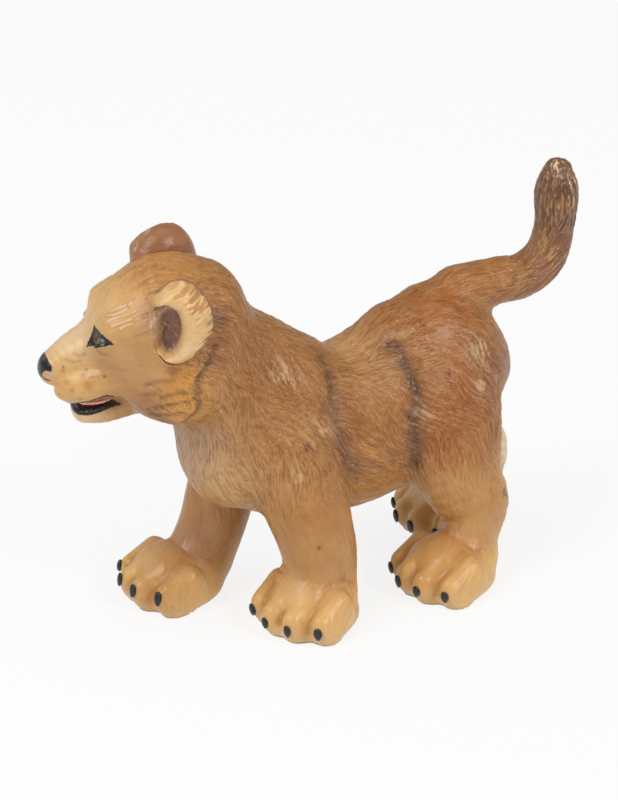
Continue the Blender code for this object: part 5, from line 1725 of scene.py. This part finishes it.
middles, axes = claw_seats()
one, one_quads, one_caps = closed_grid(drop(), CLAW_AROUND, CLAW_ALONG)
uneven = 1.0 + 0.12 * np.random.default_rng(5).uniform(-1.0, 1.0, (len(middles), 1, 3))
claw_points = middles[:, None] + (one[None] * uneven + (0.0, 0.08, 0.0)) @ axes
step = len(one) * np.arange(len(middles))[:, None, None]
claw_quads, claw_caps = (one_quads[None] + step).reshape(-1, 4), (one_caps[None] + step).reshape(-1, 3)
claws = new_mesh("toe_claws", claw_points.reshape(-1, 3), claw_quads, claw_caps)


def enamel(name, colour, rough):
    """A glossy brush enamel with a little unevenness."""
    material, n, shader = new_material(name)
    place = n.add("ShaderNodeTexCoord").outputs["Object"]
    uneven = n.noise(place, 1600.0, 3.0, 0.6)
    lighter = tuple(min(1.0, 2.2 * c + 0.01) for c in colour)
    shade = n.mix(n.ramp(uneven, 0.45, 0.8), (*colour, 1.0), (*lighter, 1.0))
    n.tree.links.new(shade, shader.inputs["Base Color"])
    n.tree.links.new(n.ramp(uneven, 0.3, 0.8, rough, rough + 0.2), shader.inputs["Roughness"])
    bump = n.add("ShaderNodeBump", None, Height=uneven, Strength=0.4, Distance=0.00006)
    n.tree.links.new(bump.outputs["Normal"], shader.inputs["Normal"])
    return material


claws.data.materials.append(enamel("black_claw_enamel", (0.012, 0.011, 0.011), 0.25))
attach(claws, "root")
print("claws:", len(middles))

# %% [markdown]
# ## Tongue
# Between the lips lies a small pink tongue. It is a flat roll, narrower to the front, raised at its
# edges, and set inside the mouth's slit so that it shows as a pink line above the lower lip.

# %% Tongue in the slit
TONGUE_ROWS = ((8.8, -6.8, 4.1), (10.5, -6.9, 4.0), (12.2, -7.15, 3.45), (13.6, -7.4, 2.6), (14.4, -7.5, 1.2))
TONGUE_THICKNESS = 0.55
TONGUE_AROUND = 40


def tongue_points():
    """Rings along the tongue: (half width cos w, thickness sin w + 0.25 cos^2 w) about its line."""
    rows = spline(TONGUE_ROWS, 8)
    w = np.linspace(0.0, 2 * math.pi, TONGUE_AROUND, endpoint=False)[:, None]
    fade = np.sin(np.linspace(0.05, math.pi - 0.02, len(rows)))[None, :] ** 0.35
    fade = fade * (np.arange(len(rows)) > 0) * (np.arange(len(rows)) < len(rows) - 1)
    side = rows[None, :, 2] * np.cos(w) * fade
    up = rows[None, :, 1] + TONGUE_THICKNESS * np.sin(w) * fade + 0.25 * np.cos(w) ** 2 * fade
    forward = np.broadcast_to(rows[None, :, 0], side.shape)
    return from_head(np.stack([forward, side, up], axis=-1).reshape(-1, 3)), len(rows)


tongue_net, tongue_across = tongue_points()
tongue_grid, tongue_quads, tongue_caps = closed_grid(tongue_net, TONGUE_AROUND, tongue_across)
tongue = new_mesh("tongue", tongue_grid, tongue_quads, tongue_caps)
tongue.data.materials.append(enamel("pink_tongue_enamel", (0.86, 0.42, 0.30), 0.32))
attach(tongue, "root")
print("tongue squares:", len(tongue_quads))

# %% [markdown]
# ## Table, light and camera
# The figure stands on a plain white table under large soft lamps. The table's white comes from its own
# colour and from what the camera sees of it, not from more light on the cub. The camera looks down a
# little and from the cub's front left with a long lens, as the photograph does.

# %% Table
def table(name, size):
    """A square white table top that also glows a little where the camera sees it."""
    mesh = bpy.data.meshes.new(name)
    half = size / 2
    corners = [(-half, -half, 0.0), (half, -half, 0.0), (half, half, 0.0), (-half, half, 0.0)]
    mesh.from_pydata(corners, [], [(0, 1, 2, 3)])
    obj = placed(name, mesh)
    material, n, shader = new_material("white_table")
    shader.inputs["Base Color"].default_value = (0.86, 0.86, 0.86, 1.0)
    shader.inputs["Roughness"].default_value = 0.7
    shader.inputs["Specular IOR Level"].default_value = 0.1
    path = n.add("ShaderNodeLightPath")
    seen = n.math("MAXIMUM", path.outputs["Is Camera Ray"], path.outputs["Is Glossy Ray"])
    seen = n.math("MAXIMUM", seen, path.outputs["Is Transmission Ray"])
    white = n.add("ShaderNodeEmission", None, Color=(1.0, 1.0, 1.0, 1.0), Strength=1.0)
    share = n.math("MULTIPLY", seen, 0.84)
    both = n.add("ShaderNodeMixShader", None, i0=share, i1=shader.outputs[0], i2=white.outputs[0])
    n.tree.links.new(both.outputs[0], material.node_tree.nodes["Material Output"].inputs["Surface"])
    obj.data.materials.append(material)
    return obj


floor = table("table_top", 6.0)
print("table:", floor.name)

# %% [markdown]
# ## Soft lamps
# The key lamp is large and stands at the cub's left, so its shadows are soft and fall to the far side. The
# smaller fill makes the glints on eye, nose and thigh. The others lift the shadows from above and behind.

# %% Lamps and world
AIM = Vector((0.0, 0.0, 0.025))
# Lamp: azimuth, elevation, distance in metres, size, power in watts
LAMPS = (
    ("key", -80.0, 45.0, 0.9, 0.45, 3.3),
    ("fill", 17.0, 34.0, 0.9, 0.16, 2.6),
    ("top", 0.0, 85.0, 0.9, 0.6, 0.8),
    ("side", 60.0, 20.0, 1.0, 0.5, 0.7),
    ("back", -150.0, 32.0, 1.0, 0.6, 0.9),
)


def aimed(name, data, middle, azimuth, elevation, away):
    """An object set away from a middle along (sin a cos e, -cos a cos e, sin e), looking back at it."""
    a, e = math.radians(azimuth), math.radians(elevation)
    way = Vector((math.sin(a) * math.cos(e), -math.cos(a) * math.cos(e), math.sin(e)))
    obj = placed(name, data)
    obj.location = middle + way * away
    obj.rotation_euler = way.to_track_quat("Z", "Y").to_euler()
    return obj


for name, azimuth, elevation, away, size, power in LAMPS:
    lamp = bpy.data.lights.new(name, "AREA")
    lamp.shape = "DISK"
    lamp.size = size
    lamp.energy = power
    aimed(name + "_lamp", lamp, AIM, azimuth, elevation, away)

world = bpy.data.worlds.new("studio")
bpy.context.scene.world = world
world.use_nodes = True
n = Nodes(world.node_tree)
path = n.add("ShaderNodeLightPath")
seen = n.math("MAXIMUM", path.outputs["Is Camera Ray"], path.outputs["Is Transmission Ray"])
dim = n.add("ShaderNodeBackground", None, Color=(1.0, 1.0, 1.0, 1.0), Strength=0.42)
bright = n.add("ShaderNodeBackground", None, Color=(1.0, 1.0, 1.0, 1.0), Strength=1.0)
both = n.add("ShaderNodeMixShader", None, i0=seen, i1=dim.outputs[0], i2=bright.outputs[0])
n.tree.links.new(both.outputs[0], world.node_tree.nodes["World Output"].inputs["Surface"])
bpy.context.scene.view_settings.view_transform = "Standard"
print("lamps:", [lamp[0] for lamp in LAMPS])

# %% [markdown]
# ## Camera
# The lens is long, because the photograph shows hardly any perspective. It is aimed at the figure's middle,
# and its sensor is shifted so that the figure stands where it does in the photograph.

# %% Camera
CAMERA_AZIMUTH, CAMERA_ELEVATION, CAMERA_AWAY = -33.0, 24.6, 0.420
FOCAL_PIXELS = 3234.0  # focal length in pixels of the 618 x 800 frame
FRAME_WIDTH, FRAME_HEIGHT = 618, 800
AIM_PIXEL = (331.0, 408.0)
SENSOR = 36.0
lens = bpy.data.cameras.new("camera")
lens.sensor_width = SENSOR
lens.lens = FOCAL_PIXELS * SENSOR / FRAME_HEIGHT
lens.shift_x = (FRAME_WIDTH / 2 - AIM_PIXEL[0]) / FRAME_HEIGHT
lens.shift_y = (AIM_PIXEL[1] - FRAME_HEIGHT / 2) / FRAME_HEIGHT
lens.clip_start = 0.01
middle = Vector(CLAY_TO_FRAME * MM) + AIM
camera = aimed("camera", lens, middle, CAMERA_AZIMUTH, CAMERA_ELEVATION, CAMERA_AWAY)
bpy.context.scene.camera = camera
print("lens:", round(lens.lens, 1), "mm")

# %% [markdown]
